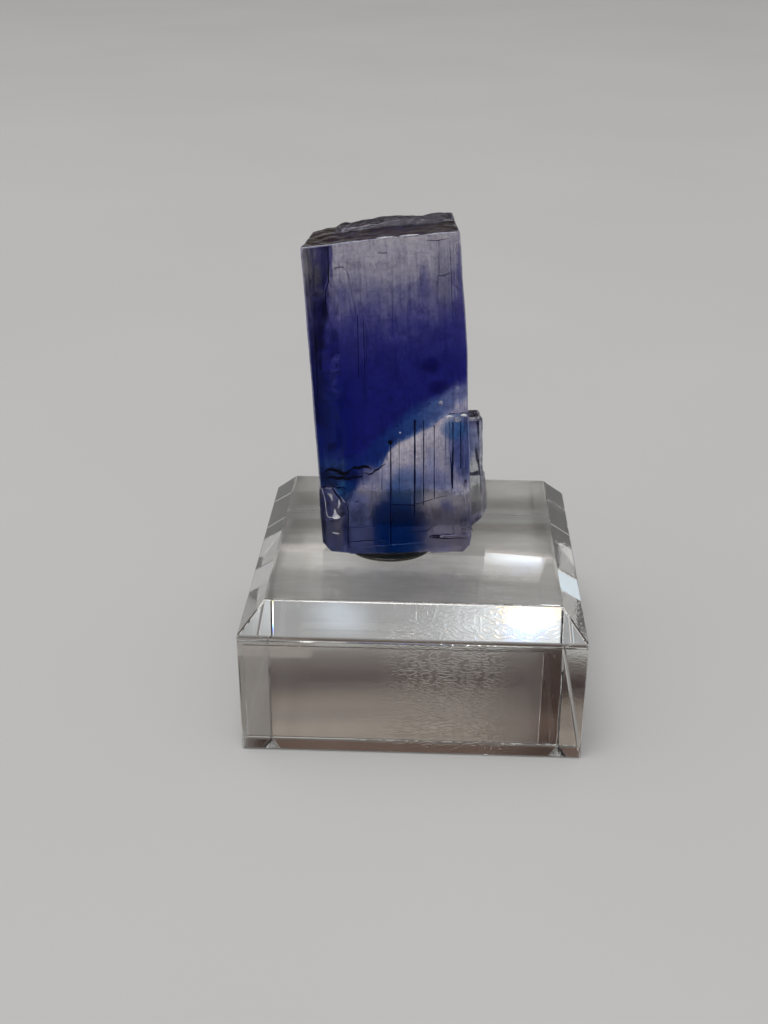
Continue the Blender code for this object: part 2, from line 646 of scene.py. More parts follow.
class Graph(Nodes):
    """A material's nodes."""

    def __init__(self, name: str) -> None:
        """Starts a material with a Principled shader.

        Args:
            name: The material's name.
        """
        self.material = bpy.data.materials.new(name)
        self.material.use_nodes = True
        super().__init__(self.material.node_tree)
        self.shader = self.tree.nodes["Principled BSDF"]
        self.output = self.tree.nodes["Material Output"]

    def place(self, matrix: Matrix | None = None, stretch: Point = (1.0, 1.0, 1.0)) -> Socket:
        """Object coordinates in millimetres, in a frame of the piece's own.

        Args:
            matrix: The frame, in millimetres, or None for the block's.
            stretch: How many millimetres along X, Y and Z make one unit of the pattern.

        Returns:
            The coordinates' socket.
        """
        frame = matrix or Matrix.Identity(4)
        source = self.node("ShaderNodeTexCoord").outputs["Object"]
        own = self.node("ShaderNodeMapping", vector_type="TEXTURE")
        self.feed(own.inputs["Vector"], source)
        own.inputs["Location"].default_value = frame.to_translation() * MM
        own.inputs["Rotation"].default_value = frame.to_euler("XYZ")
        own.inputs["Scale"].default_value = Vector(stretch) * MM
        return own.outputs["Vector"]

    def bump(self, height: object, strength: float, distance: float, under: object = None) -> Socket:
        """A Bump node's normal.

        Args:
            height: The relief, in units of the distance.
            strength: How much of it shows.
            distance: The height of one unit, in millimetres.
            under: The normal of a coarser bump that this one lies on.

        Returns:
            The normal's socket.
        """
        made = self.node("ShaderNodeBump")
        made.inputs["Strength"].default_value = strength
        made.inputs["Distance"].default_value = distance * MM
        self.feed(made.inputs["Height"], height)
        if under is not None:
            self.feed(made.inputs["Normal"], under)
        return made.outputs["Normal"]

    def clear(self, ior: float, roughness: object, colour: object) -> None:
        """Makes the shader see-through.

        Args:
            ior: Its index of refraction.
            roughness: How frosted it is.
            colour: The tint that light takes as it crosses the surface.
        """
        self.shader.inputs["Transmission Weight"].default_value = 1.0
        self.shader.inputs["IOR"].default_value = ior
        self.feed(self.shader.inputs["Roughness"], roughness)
        self.feed(self.shader.inputs["Base Color"], (*colour, 1.0) if isinstance(colour, tuple) else colour)

    def absorb(self, colour: Colour, per_millimetre: float) -> None:
        """Fills the piece with a plain absorption.

        Args:
            colour: The colour that is left.
            per_millimetre: The absorption's density for each millimetre.
        """
        volume = self.node("ShaderNodeVolumeAbsorption")
        volume.inputs["Color"].default_value = (*colour, 1.0)
        volume.inputs["Density"].default_value = per_millimetre / MM
        self.feed(self.output.inputs["Volume"], volume.outputs["Volume"])


@dataclass(frozen=True)
class Patch:
    """A soft-edged patch of coloured salt, by its place on the crystal's front.

    Attributes:
        across: Its middle, across the crystal.
        up: Its middle, up the crystal.
        half_width: Half its width.
        half_height: Half its height.
        colour: The share of light that the salt there lets through.
        strength: How fully it covers what is around it.
    """

    across: float
    up: float
    half_width: float
    half_height: float
    colour: Colour
    strength: float = 1.0


NAVY = (0.001, 0.030, 0.20)
DEEP_BLUE = (0.001, 0.050, 0.38)
STEEL = (0.05, 0.15, 0.42)
SMOKE = (0.22, 0.21, 0.30)

PATCHES = (
    Patch(-7.3, 2.8, 1.7, 4.8, (0.12, 0.13, 0.26), 0.9),
    Patch(-6.2, 3.4, 0.8, 2.4, (0.24, 0.23, 0.30), 0.7),
    Patch(0.2, 2.6, 2.9, 4.8, DEEP_BLUE),
    Patch(0.4, 1.2, 3.6, 3.2, (0.002, 0.04, 0.24), 0.8),
    Patch(1.6, 6.9, 2.6, 2.4, STEEL, 0.8),
    Patch(-2.4, 8.4, 1.6, 1.5, (0.26, 0.28, 0.46), 0.8),
    Patch(0.4, -0.2, 4.6, 1.2, NAVY, 0.9),
    Patch(4.9, 7.6, 2.2, 1.3, (0.18, 0.22, 0.46), 0.7),
    Patch(8.3, 11.6, 1.7, 4.2, (0.09, 0.13, 0.38), 0.95),
    Patch(7.4, 13.8, 1.5, 1.3, (0.05, 0.18, 0.46), 0.8),
    Patch(6.2, 4.35, 0.9, 0.5, (0.16, 0.18, 0.60), 0.8),
    Patch(6.4, 0.2, 2.8, 0.7, SMOKE, 0.7),
    Patch(3.2, 2.6, 0.9, 1.6, (0.05, 0.08, 0.26), 0.7),
    Patch(-5.5, 2.9, 0.4, 3.6, (0.02, 0.03, 0.14), 0.9),
    Patch(-5.9, 8.9, 3.0, 0.95, (0.001, 0.008, 0.10)),
    Patch(-5.4, 7.2, 1.1, 1.3, (0.002, 0.05, 0.26), 0.9),
    Patch(-7.6, 6.0, 0.5, 1.8, (0.03, 0.04, 0.22), 0.8),
    Patch(10.0, 14.4, 1.2, 1.1, (0.04, 0.05, 0.20), 0.85),
    Patch(10.0, 11.3, 1.2, 2.0, (0.22, 0.26, 0.44), 0.70),
    Patch(10.1, 6.0, 1.3, 3.8, (0.66, 0.70, 0.66), 0.85),
    Patch(5.1, 21.5, 1.1, 0.9, (0.003, 0.003, 0.13), 0.75),
    Patch(5.8, 18.9, 1.1, 0.8, (0.003, 0.003, 0.13), 0.75),
    Patch(-7.0, 17.8, 0.6, 4.4, (0.002, 0.006, 0.10), 0.8),
    Patch(6.7, 31.6, 0.9, 3.4, (0.32, 0.32, 0.36), 0.6),
    Patch(4.7, 30.6, 0.7, 2.4, (0.12, 0.12, 0.34), 0.6),
    Patch(8.7, 30.0, 0.7, 5.4, (0.07, 0.06, 0.30), 0.85),
    Patch(-3.2, 33.6, 1.4, 0.5, (0.42, 0.37, 0.34), 0.5),
    Patch(1.6, 33.2, 1.6, 0.8, (0.72, 0.66, 0.58), 0.5),
)


@dataclass(frozen=True)
class HaliteFinish:
    """Rock salt, clear at the top, violet below and streaked with blue under a slanted front.

    Attributes:
        seat: The crystal's seat.
        ior: The salt's index of refraction.
        front: Where the crystal's front face lies in its own frame.
        tilt_across: How far the zones move across for each millimetre inwards.
        tilt_up: How far the zones sink for each millimetre inwards.
        clear_from: The height at which the salt is fully violet.
        clear_to: The height at which it is fully clear.
    """

    seat: Seat
    ior: float = HALITE_IOR
    front: float = -5.0
    tilt_across: float = 0.025
    tilt_up: float = 0.21
    clear_from: float = 18.0
    clear_to: float = 36.0

    def build(self) -> bpy.types.Material:
        """Makes the crystal's material.

        Returns:
            The material.
        """
        graph = Graph("blue_halite")
        spot = graph.place(self.seat.matrix())
        plane = self._on_front(graph, spot)
        across, _, up = graph.apart(plane)
        broad = graph.noise(graph.vector("DIVIDE", plane, (0.8, 1.0, 8.0)), 1.0, 3.0, 0.6)
        fine = graph.noise(graph.place(self.seat.matrix(), (0.20, 0.9, 4.0)), 1.0, 4.0, 0.6)
        cloud = graph.noise(plane, 0.45, 5.0, 0.6)

        colour = self._upper(graph, across, up, broad, fine, cloud)
        # Painted shade: the dark strip along the left edge, where the left side face shows by internal
        # reflection.
        colour = self._painted_left_shade(graph, colour, across, up, cloud)
        colour = self._lower(graph, colour, across, up, cloud, fine)
        ragged = self._wander(graph, plane, 0.8, 1.5)
        for patch in PATCHES:
            colour = self._patch(graph, colour, ragged, patch)
        colour = self._grain(graph, colour, spot, fine)

        graph.clear(self.ior, self._roughness(graph, spot), colour)
        graph.shader.inputs["Specular Tint"].default_value = (0.13, 0.13, 0.16, 1.0)
        graph.absorb((0.40, 0.38, 0.60), 0.016)
        graph.feed(graph.shader.inputs["Normal"], self._relief(graph))
        return graph.material

    def _on_front(self, graph: Graph, spot: object) -> Socket:
        """Follows the zones' own tilt from a point in the crystal out to its front face.

        Args:
            graph: The material's nodes.
            spot: The point, in the crystal's frame.

        Returns:
            The place on the front face.
        """
        deep = graph.math("SUBTRACT", graph.apart(spot)[1], self.front)
        slide = graph.node("ShaderNodeVectorMath", operation="SCALE")
        slide.inputs[0].default_value = (-self.tilt_across, -1.0, self.tilt_up)
        graph.feed(slide.inputs["Scale"], deep)
        return graph.vector("ADD", spot, slide.outputs[0])

    def _wander(self, graph: Graph, vector: object, scale: float, amount: float) -> Socket:
        """Coordinates that wander by a noise's colour, so that borders come out ragged.

        Args:
            graph: The material's nodes.
            vector: The straight coordinates.
            scale: How many waves fit in a millimetre.
            amount: How far they wander, in millimetres.

        Returns:
            The ragged coordinates.
        """
        noise = graph.node("ShaderNodeTexNoise")
        graph.feed(noise.inputs["Vector"], vector)
        noise.inputs["Scale"].default_value = scale
        noise.inputs["Detail"].default_value = 4.0
        noise.inputs["Roughness"].default_value = 0.65
        centred = graph.vector("SUBTRACT", noise.outputs["Color"], (0.5, 0.5, 0.5))
        return graph.vector("ADD", vector, graph.vector("MULTIPLY", centred, (amount, 0.0, amount)))

    def _upper(
        self, graph: Graph, across: object, up: object, broad: object, fine: object, cloud: object
    ) -> Socket:
        """The colour above the slanted front, from violet up to clear salt, with painted shade darkening
        the top.

        Args:
            graph: The material's nodes.
            across: The place across the front.
            up: The place up the front.
            broad: Long upright streaks.
            fine: Fine upright streaks.
            cloud: A cloudy pattern.

        Returns:
            The colour.
        """
        sway = graph.math("MULTIPLY", graph.math("SUBTRACT", broad, 0.5), 4.5)
        tremble = graph.math("MULTIPLY", graph.math("SUBTRACT", fine, 0.5), 1.5)
        drift = graph.math("MULTIPLY", graph.math("SUBTRACT", cloud, 0.5), 7.0)
        height = graph.math("ADD", graph.math("ADD", up, sway), graph.math("ADD", tremble, drift))
        share = graph.node("ShaderNodeMapRange")
        graph.feed(share.inputs["Value"], height)
        share.inputs["From Min"].default_value = self.clear_from
        share.inputs["From Max"].default_value = self.clear_to
        stops = (
            (0.00, (0.020, 0.025, 0.275)),
            (0.22, (0.030, 0.034, 0.280)),
            (0.40, (0.070, 0.072, 0.330)),
            (0.54, (0.170, 0.172, 0.400)),
            (0.66, (0.390, 0.392, 0.500)),
            (0.77, (0.700, 0.690, 0.640)),
            (0.88, (1.000, 0.970, 0.800)),
        )
        colour = graph.ramp(share.outputs["Result"], stops)
        leftward = graph.math("ADD", across, graph.math("MULTIPLY", cloud, 4.0))
        blue_side = graph.math("MULTIPLY", graph.span(leftward, 1.0, -4.5), graph.span(up, 25.0, 17.0))
        colour = graph.blend(blue_side, colour, (0.002, 0.012, 0.21))
        # Painted shade: above its front edge the top is tinted a dim grey.
        top_edge = ((-9.0, 35.2), (0.0, 35.75), (9.5, 35.95))
        over = graph.math("SUBTRACT", up, graph.curve(across, top_edge))
        return graph.blend(graph.span(over, -0.05, 0.25), colour, (0.20, 0.185, 0.21))

    def _painted_left_shade(self, graph: Graph, colour: object, across: object, up: object, cloud: object) -> Socket:
        """Painted shade: the darker strip along the left edge, behind its wavy border, where the left side
        face shows by internal reflection.

        Args:
            graph: The material's nodes.
            colour: The colour so far.
            across: The place across the front.
            up: The place up the front.
            cloud: A cloudy pattern.

        Returns:
            The colour with the strip.
        """
        border = (
            (14.0, -7.5),
            (18.4, -7.1),
            (21.8, -7.0),
            (26.2, -6.5),
            (28.9, -6.0),
            (30.6, -6.0),
            (32.2, -5.6),
            (33.5, -5.35),
            (35.4, -5.3),
        )
        wave = graph.math("MULTIPLY", graph.math("SUBTRACT", cloud, 0.5), 0.8)
        beyond = graph.math("SUBTRACT", graph.math("ADD", across, wave), graph.curve(up, border))
        low = graph.span(up, 14.0, 17.0)
        inside = graph.math("MULTIPLY", graph.span(beyond, 0.12, -0.12), low)
        shades = ((0.38, (0.10, 0.10, 0.12)), (0.50, (0.26, 0.26, 0.25)), (0.64, (0.48, 0.49, 0.42)))
        tint = graph.ramp(cloud, shades)
        # Painted shade: the strip is darkened by multiplying.
        colour = graph.blend(inside, colour, tint, "MULTIPLY")
        # Painted shade: a darker blue rim along the strip's side of its border.
        rim = graph.math("MULTIPLY", graph.span(beyond, -1.3, -0.3), graph.span(beyond, 0.10, -0.02))
        return graph.blend(graph.math("MULTIPLY", rim, low), colour, (0.40, 0.42, 0.62), "MULTIPLY")

    def _lower(
        self, graph: Graph, colour: object, across: object, up: object, cloud: object, fine: object
    ) -> Socket:
        """The steel-blue band along the slanted front, and the pale salt below it.

        Args:
            graph: The material's nodes.
            colour: The colour so far.
            across: The place across the front.
            up: The place up the front.
            cloud: A cloudy pattern.
            fine: Fine upright streaks.

        Returns:
            The colour with the band and the foot.
        """
        waves = graph.math("MULTIPLY", graph.math("SUBTRACT", cloud, 0.5), 1.8)
        height = graph.math("ADD", up, waves)
        level = graph.math("ADD", up, graph.math("MULTIPLY", graph.math("SUBTRACT", cloud, 0.5), 6.0))
        violet_edge = (
            (-9.0, 11.9),
            (-4.7, 10.9),
            (-1.0, 13.6),
            (1.3, 15.4),
            (3.9, 16.9),
            (6.4, 18.2),
            (9.5, 19.7),
        )
        pale_edge = (
            (-9.0, 4.5),
            (-4.9, 7.0),
            (-3.1, 8.1),
            (-2.1, 9.0),
            (-1.0, 10.3),
            (0.1, 11.9),
            (2.8, 13.4),
            (5.0, 14.6),
            (6.3, 15.5),
            (9.5, 18.2),
        )
        over_violet = graph.math("SUBTRACT", height, graph.curve(across, violet_edge))
        over_pale = graph.math("SUBTRACT", height, graph.curve(across, pale_edge))
        share = graph.node("ShaderNodeMapRange")
        graph.feed(share.inputs["Value"], graph.math("ADD", across, graph.math("MULTIPLY", cloud, 3.0)))
        share.inputs["From Min"].default_value = -8.0
        share.inputs["From Max"].default_value = 10.5
        band = (
            (0.00, (0.002, 0.016, 0.20)),
            (0.45, (0.008, 0.035, 0.25)),
            (0.66, (0.030, 0.090, 0.34)),
            (0.82, (0.110, 0.190, 0.48)),
            (0.96, (0.300, 0.330, 0.58)),
        )
        steel = graph.ramp(share.outputs["Result"], band)
        colour = graph.blend(graph.span(over_violet, 0.9, -0.5), colour, steel)
        depth = graph.node("ShaderNodeMapRange")
        graph.feed(depth.inputs["Value"], graph.math("ADD", over_pale, graph.math("MULTIPLY", fine, 1.2)))
        depth.inputs["From Min"].default_value = 0.0
        depth.inputs["From Max"].default_value = -12.0
        pale = (
            (0.00, (0.92, 0.87, 0.92)),
            (0.22, (0.62, 0.60, 0.70)),
            (0.50, (0.50, 0.49, 0.62)),
            (1.00, (0.46, 0.45, 0.60)),
        )
        low = graph.ramp(depth.outputs["Result"], pale)
        foot = graph.blend(graph.span(across, -1.0, -4.0), (0.96, 0.94, 1.00), (0.27, 0.33, 0.74))
        base = graph.blend(graph.span(across, -1.0, -4.0), (0.48, 0.47, 0.62), (0.12, 0.16, 0.42))
        foot = graph.blend(graph.span(level, 4.8, 3.4), foot, base)
        low = graph.blend(graph.span(level, 7.6, 6.4), low, foot)
        blued = graph.math("MULTIPLY", graph.span(cloud, 0.46, 0.66), 0.5)
        low = graph.blend(blued, low, (0.26, 0.32, 0.66))
        return graph.blend(graph.span(over_pale, 0.25, -0.25), colour, low)

    def _patch(self, graph: Graph, colour: object, place: object, patch: Patch) -> Socket:
        """Lays one patch over the colour so far.

        Args:
            graph: The material's nodes.
            colour: The colour so far.
            place: The ragged place on the front.
            patch: The patch.

        Returns:
            The colour with the patch.
        """
        away = graph.vector("SUBTRACT", place, (patch.across, self.front, patch.up))
        scaled = graph.vector("DIVIDE", away, (patch.half_width, 1.0, patch.half_height))
        mask = graph.span(graph.vector("LENGTH", scaled, (0.0, 0.0, 0.0)), 1.3, 0.6)
        return graph.blend(graph.math("MULTIPLY", mask, patch.strength), colour, patch.colour)

    def _grain(self, graph: Graph, colour: object, spot: object, fine: object) -> Socket:
        """Fine growth lines and a felt of tiny inclusions.

        Args:
            graph: The material's nodes.
            colour: The colour so far.
            spot: The point, in the crystal's frame.
            fine: Fine upright streaks.

        Returns:
            The colour with its grain.
        """
        lines = graph.ramp(fine, ((0.34, (0.52, 0.52, 0.66)), (0.46, (0.95, 0.95, 0.97)), (0.62, WHITE)))
        felt = graph.noise(spot, 2.2, 5.0, 0.7)
        specks = graph.ramp(felt, ((0.34, (0.60, 0.58, 0.66)), (0.52, (0.96, 0.95, 0.97)), (0.60, WHITE)))
        mottle = graph.noise(spot, 0.9, 6.0, 0.75)
        blotched = ((0.38, (0.60, 0.58, 0.64)), (0.48, (0.90, 0.90, 0.92)), (0.56, WHITE))
        blotches = graph.ramp(mottle, blotched)
        colour = graph.blend(0.9, colour, blotches, "MULTIPLY")
        hair = graph.noise(graph.place(self.seat.matrix(), (0.07, 0.8, 9.0)), 1.0, 2.0, 0.5)
        hairs = graph.ramp(hair, ((0.27, (0.45, 0.46, 0.62)), (0.36, WHITE)))
        colour = graph.blend(0.8, colour, lines, "MULTIPLY")
        colour = graph.blend(0.9, colour, specks, "MULTIPLY")
        return graph.blend(0.9, colour, hairs, "MULTIPLY")

    def _roughness(self, graph: Graph, spot: object) -> Socket:
        """Fresh cleavage faces with a few duller patches."""
        dull = graph.noise(spot, 0.8, 4.0)
        return graph.math("ADD", graph.math("MULTIPLY", graph.span(dull, 0.5, 0.8), 0.10), 0.02)

    def _relief(self, graph: Graph) -> Socket:
        """Fine growth lines and small pits over the modelled relief.

        Args:
            graph: The material's nodes.

        Returns:
            The surface's normal.
        """
        lines = graph.noise(graph.place(self.seat.matrix(), (0.16, 0.30, 5.0)), 1.0, 3.0, 0.6)
        pits = graph.noise(graph.place(self.seat.matrix(), (0.5, 0.5, 0.7)), 1.0, 5.0, 0.65)
        under = graph.bump(lines, 0.5, 0.03)
        return graph.bump(pits, 0.5, 0.035, under)


@dataclass(frozen=True)
class FrostAndGlintFinish:
    """The frosted skin of worn edges, partly a painted highlight along them, and the white finish of
    painted glints, on salt.

    Attributes:
        name: The material's name.
        dark: Its darker patches.
        pale: Its paler ones.
        clearness: How much of it is see-through.
    """

    name: str
    dark: Colour
    pale: Colour
    clearness: float

    def build(self) -> bpy.types.Material:
        """Makes the material.

        Returns:
            The material.
        """
        graph = Graph(self.name)
        wear = graph.noise(graph.place(), 2.2, 4.0, 0.6)
        tint = graph.ramp(wear, ((0.35, self.dark), (0.62, self.pale)))
        graph.feed(graph.shader.inputs["Base Color"], tint)
        graph.shader.inputs["IOR"].default_value = HALITE_IOR
        graph.shader.inputs["Transmission Weight"].default_value = self.clearness
        graph.shader.inputs["Roughness"].default_value = 0.22
        return graph.material


@dataclass(frozen=True)
class ZoneFinish:
    """A coloured zone inside the crystal: nothing at its border, and a plain absorption within.

    Attributes:
        name: The material's name.
        colour: The colour that is left.
        density: The absorption's density for each millimetre.
    """

    name: str
    colour: Colour
    density: float

    def build(self) -> bpy.types.Material:
        """Makes the zone's material.

        Returns:
            The material.
        """
        graph = Graph(self.name)
        graph.clear(1.0, 0.0, WHITE)
        graph.shader.inputs["Specular IOR Level"].default_value = 0.0
        graph.absorb(self.colour, self.density)
        return graph.material


@dataclass(frozen=True)
class SealedFinish:
    """Blue-black salt, and the near-black finish that paints the shade of cracks, sealed in the crystal.

    Attributes:
        name: The material's name.
        dark: Its darker patches.
        light: Its lighter ones.
    """

    name: str
    dark: Colour
    light: Colour

    def build(self) -> bpy.types.Material:
        """Makes the material.

        Returns:
            The material.
        """
        graph = Graph(self.name)
        grain = graph.noise(graph.place(stretch=(1.0, 1.0, 2.0)), 3.0, 3.0)
        tint = graph.ramp(grain, ((0.3, self.dark), (0.7, self.light)))
        graph.feed(graph.shader.inputs["Base Color"], tint)
        graph.shader.inputs["Roughness"].default_value = 0.4
        graph.shader.inputs["Specular IOR Level"].default_value = 0.15
        return graph.material


@dataclass(frozen=True)
class AcrylicFinish:
    """Polished cast acrylic with fine scratches and a crinkled underside.

    Attributes:
        ior: Its index of refraction.
        body_colour: The colour that is left by its absorption.
        body_density: The absorption's density for each millimetre.
        scuff_haze: The roughness that the scuffed corner adds.
        crinkle_height: The height of the crinkles, in millimetres.
    """

    ior: float = 1.49
    body_colour: Colour = (0.75, 0.74, 0.70)
    body_density: float = 0.0015
    scuff_haze: float = 0.16
    crinkle_height: float = 0.0015

    def build(self) -> bpy.types.Material:
        """Makes the block's material.

        Returns:
            The material.
        """
        graph = Graph("clear_acrylic")
        spot = graph.place()
        smear = graph.noise(spot, 0.25, 4.0)
        dull = graph.math("MULTIPLY", graph.span(smear, 0.45, 0.8), 0.04)
        haze = graph.math("MULTIPLY", self._scuffed(graph, spot), self.scuff_haze)
        cloud = graph.noise(graph.place(stretch=(6.0, 1.6, 6.0)), 1.0, 4.0, 0.6)
        tint = graph.ramp(cloud, ((0.35, (0.86, 0.85, 0.83)), (0.60, (0.985, 0.985, 0.98))))
        graph.clear(self.ior, graph.math("ADD", dull, haze), tint)
        graph.absorb(self.body_colour, self.body_density)
        hair = graph.noise(graph.place(stretch=(0.12, 6.0, 6.0)), 1.0, 2.0)
        scratched = graph.bump(graph.span(hair, 0.70, 0.78), 0.3, 0.01)
        graph.feed(graph.shader.inputs["Normal"], self._crinkle(graph, spot, scratched))
        return graph.material

    def _scuffed(self, graph: Graph, spot: object) -> Socket:
        """1 on the back left corner of the underside, scuffed dull, less on the right, 0 elsewhere.

        Args:
            graph: The material's nodes.
            spot: The point, in the block's frame.

        Returns:
            How scuffed it is.
        """
        across, along, up = graph.apart(spot)
        corner = graph.span(graph.math("ABSOLUTE", across), 12.5, 14.0)
        corner = graph.math("MULTIPLY", corner, graph.span(across, 20.0, -13.0))
        back = graph.span(along, 12.0, 14.0)
        return graph.math("MULTIPLY", graph.math("MULTIPLY", corner, back), graph.span(up, 0.12, 0.02))

    def _crinkle(self, graph: Graph, spot: object, under: object) -> Socket:
        """Worm-like crinkles on the right of the underside, where the block was glued before.

        Args:
            graph: The material's nodes.
            spot: The point, in the block's frame.
            under: The normal of the bump beneath.

        Returns:
            The surface's normal.
        """
        across, _, up = graph.apart(spot)
        low = graph.span(up, 0.12, 0.02)
        right = graph.span(graph.math("ADD", across, graph.noise(spot, 0.2, 2.0)), -8.0, 3.0)
        bent = graph.noise(spot, 1.0, 0.0, 0.5)
        worms = graph.span(graph.math("ABSOLUTE", graph.math("SUBTRACT", bent, 0.5)), 0.12, 0.0)
        faded = graph.math("ADD", graph.math("MULTIPLY", graph.span(across, 13.0, 9.5), 0.75), 0.25)
        where = graph.math("MULTIPLY", right, faded)
        height = graph.math("MULTIPLY", graph.math("MULTIPLY", worms, low), where)
        return graph.bump(height, 1.0, self.crinkle_height, under)


@dataclass(frozen=True)
class AdhesiveFinish:
    """Clear, slightly olive mounting adhesive.

    Attributes:
        ior: Its index of refraction.
        colour: The tint that light takes as it crosses the surface.
    """

    ior: float = 1.45
    colour: Colour = (0.80, 0.80, 0.70)

    def build(self) -> bpy.types.Material:
        """Makes the pad's material.

        Returns:
            The material.
        """
        graph = Graph("clear_adhesive")
        cloud = graph.noise(graph.place(), 0.9, 4.0)
        graph.clear(self.ior, graph.math("ADD", graph.math("MULTIPLY", cloud, 0.2), 0.05), self.colour)
        graph.absorb((0.55, 0.55, 0.45), 0.25)
        return graph.material


@dataclass(frozen=True)
class FilmFinish:
    """Clear label film with a faint haze.

    Attributes:
        ior: Its index of refraction.
        tint: The tint that light takes as it crosses the surface.
        clearness: How much of it is see-through.
    """

    ior: float = 1.5
    tint: Colour = (0.93, 0.90, 0.88)
    clearness: float = 0.975

    def build(self) -> bpy.types.Material:
        """Makes the film's material.

        Returns:
            The material.
        """
        graph = Graph("label_clear")
        haze = graph.noise(graph.place(), 0.6, 4.0)
        roughness = graph.math("ADD", graph.math("MULTIPLY", haze, 0.06), 0.01)
        graph.clear(self.ior, roughness, self.tint)
        graph.shader.inputs["Transmission Weight"].default_value = self.clearness
        return graph.material


# ---------------------------------------------------------------------------------------------------------
# The crystal
# ---------------------------------------------------------------------------------------------------------


def dress(thing: Thing, skins: Sequence[bpy.types.Material], node: str = "") -> None:
    """Gives a finished piece its finishes and tells the frame what it is.

    Args:
        thing: The piece, at its real place.
        skins: Its materials; a piece that was modelled with them keeps them as they are.
        node: The CAD node that it stands for, if any.
    """
    if len(thing.data.materials) != len(skins):
        thing.data.materials.clear()
        for skin in skins:
            thing.data.materials.append(skin)
    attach(thing, BODY)
    if node:
        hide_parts(node)
    LOG.info("%s: %d faces", thing.name, len(thing.data.polygons))


LEFT_TOE = ((-8.2, -5.0, 0.5), (-1.0, 0.0, -0.80))
RIGHT_TOE = ((8.3, -5.0, -0.6), (1.0, 0.0, -1.2))


@dataclass
class Crystal:
    """The halite: a cleaved prism, what grew on it, and its chips and cracks.

    Attributes:
        seat: Where it stands.
        left: The front face's left edge.
        right: The widest place on the right.
        front: The front face.
        back: The back face.
        top_edge: The height of the top at the middle of its front edge.
        foot: The prism's lower end, before the foot is cut flat.
        worn_and_highlight: The index of the finish of worn edges, frosted and partly a painted highlight,
            also on some painted glints.
        painted_glint: The index of the finish of painted glints.
    """

    seat: Seat
    left: float = -8.25
    right: float = 9.6
    front: float = -5.0
    back: float = 5.0
    top_edge: float = 35.7
    foot: float = -3.0
    worn_and_highlight: int = 1
    painted_glint: int = 2

    def build(self) -> None:
        """Models the crystal and puts it in its place."""
        self.skins = (
            HaliteFinish(self.seat).build(),
            # Worn edges, frosted and partly a painted highlight; then a white finish for painted glints.
            FrostAndGlintFinish("worn_halite", (0.16, 0.16, 0.24), (0.66, 0.66, 0.74), 0.70).build(),
            FrostAndGlintFinish("bruised_halite", (0.50, 0.51, 0.60), (0.97, 0.97, 1.0), 0.15).build(),
        )
        prism = self._prism()
        for growth in self._growths():
            combine(prism, growth, Join.ADD)
        for cutter in self._cutters():
            combine(prism, cutter, Join.CUT)
        # Painted glints: white flakes and threads joined onto the surface.
        for glint_shape in self._painted_glints():
            combine(prism, glint_shape, Join.ADD)
        self.seat.cut_foot(prism)
        outward(prism)
        self.seat.seat(prism)
        shade(prism, 28.0)
        dress(prism, self.skins, "halite_crystal")

    def _skin(self, thing: Thing) -> None:
        """Gives a raw shape the crystal's finishes, so that its worn edges, partly a painted highlight, and
        its painted glints can take theirs.
        """
        for skin in self.skins:
            thing.data.materials.append(skin)

    def _prism(self) -> Thing:
        """The main crystal, with its striated sides.

        Returns:
            The prism, in the crystal's frame.
        """
        prism = block("blue_halite_prism", (-9.5, self.front, self.foot), (self.right, self.back, 37.0))
        self._skin(prism)
        cleave(prism, (self.left, self.front, 0.0), (-1.0, 0.15, 0.0))
        cleave(prism, (9.05, self.front, 23.0), (1.0, -0.03, 0.039))
        cleave(prism, (9.05, self.front, 23.0), (1.0, -0.03, -0.018))
        cleave(prism, (0.0, self.front, self.top_edge), (-0.055, 0.03, 1.0))
        cleave(prism, (0.0, self.front, self.top_edge), (-0.02, 0.03, 1.0))
        cleave(prism, (7.9, self.front, 0.0), (0.33, -0.944, 0.0))
        cleave(prism, (9.0, self.front, 1.2), (1.0, 0.0, -0.27))
        cleave(prism, *RIGHT_TOE)
        cleave(prism, *LEFT_TOE)
        # Its rounded edges take the worn finish: frosted, and partly a painted highlight.
        soften(prism, 0.16, 3, skin=self.worn_and_highlight)
        score(prism, Along.Z, -2.0, 35.0, 0.6)
        score(prism, Along.X, -8.2, 9.0, 0.11)
        score(prism, Along.Y, -4.9, 4.9, 0.13)
        Relief(0.16, (1.1, 1.3, 16.0), depth=3).press(prism)
        Relief(0.14, (3.0, 3.0, 6.0), depth=1, shift=(5.0, 2.0, 1.0)).press(prism)
        return prism

    def _slab(
        self, name: str, low: Point, high: Point, edge: float, relief: Relief, skin: int = -1
    ) -> Thing:
        """A small block of overgrowth with rounded edges and striated sides.

        Args:
            name: The new object's name.
            low: Its corner with the lowest coordinates.
            high: Its corner with the highest coordinates.
            edge: The rounding's width.
            relief: The roughness of its faces.
            skin: The finish of its rounded edges, or -1 for its faces' own.

        Returns:
            The block.
        """
        slab = block(name, low, high)
        self._skin(slab)
        soften(slab, edge, 3, skin=skin)
        score(slab, Along.Z, low[2] + 0.3, high[2] - 0.3, 0.5)
        score(slab, Along.X, low[0] + 0.3, high[0] - 0.3, 0.14)
        score(slab, Along.Y, low[1] + 0.3, high[1] - 0.3, 0.16)
        relief.press(slab)
        return slab

    def _left_foot(self, relief: Relief) -> Thing:
        """The ledge at the left of the foot, with its corner broken off.

        Args:
            relief: The roughness of its faces.

        Returns:
            The ledge.
        """
        foot = self._slab("left_foot", (-8.42, -4.15, -2.9), (-5.6, -1.0, 6.2), 0.15, relief)
        cleave(foot, *LEFT_TOE)
        return foot

    def _right_foot(self, relief: Relief) -> Thing:
        """The ledge at the right of the foot, with its corner broken off.

        Args:
            relief: The roughness of its faces.

        Returns:
            The ledge.
        """
        foot = self._slab("right_foot", (3.95, -5.4, -2.9), (8.6, -2.0, 1.05), 0.2, relief)
        cleave(foot, *RIGHT_TOE)
        return foot

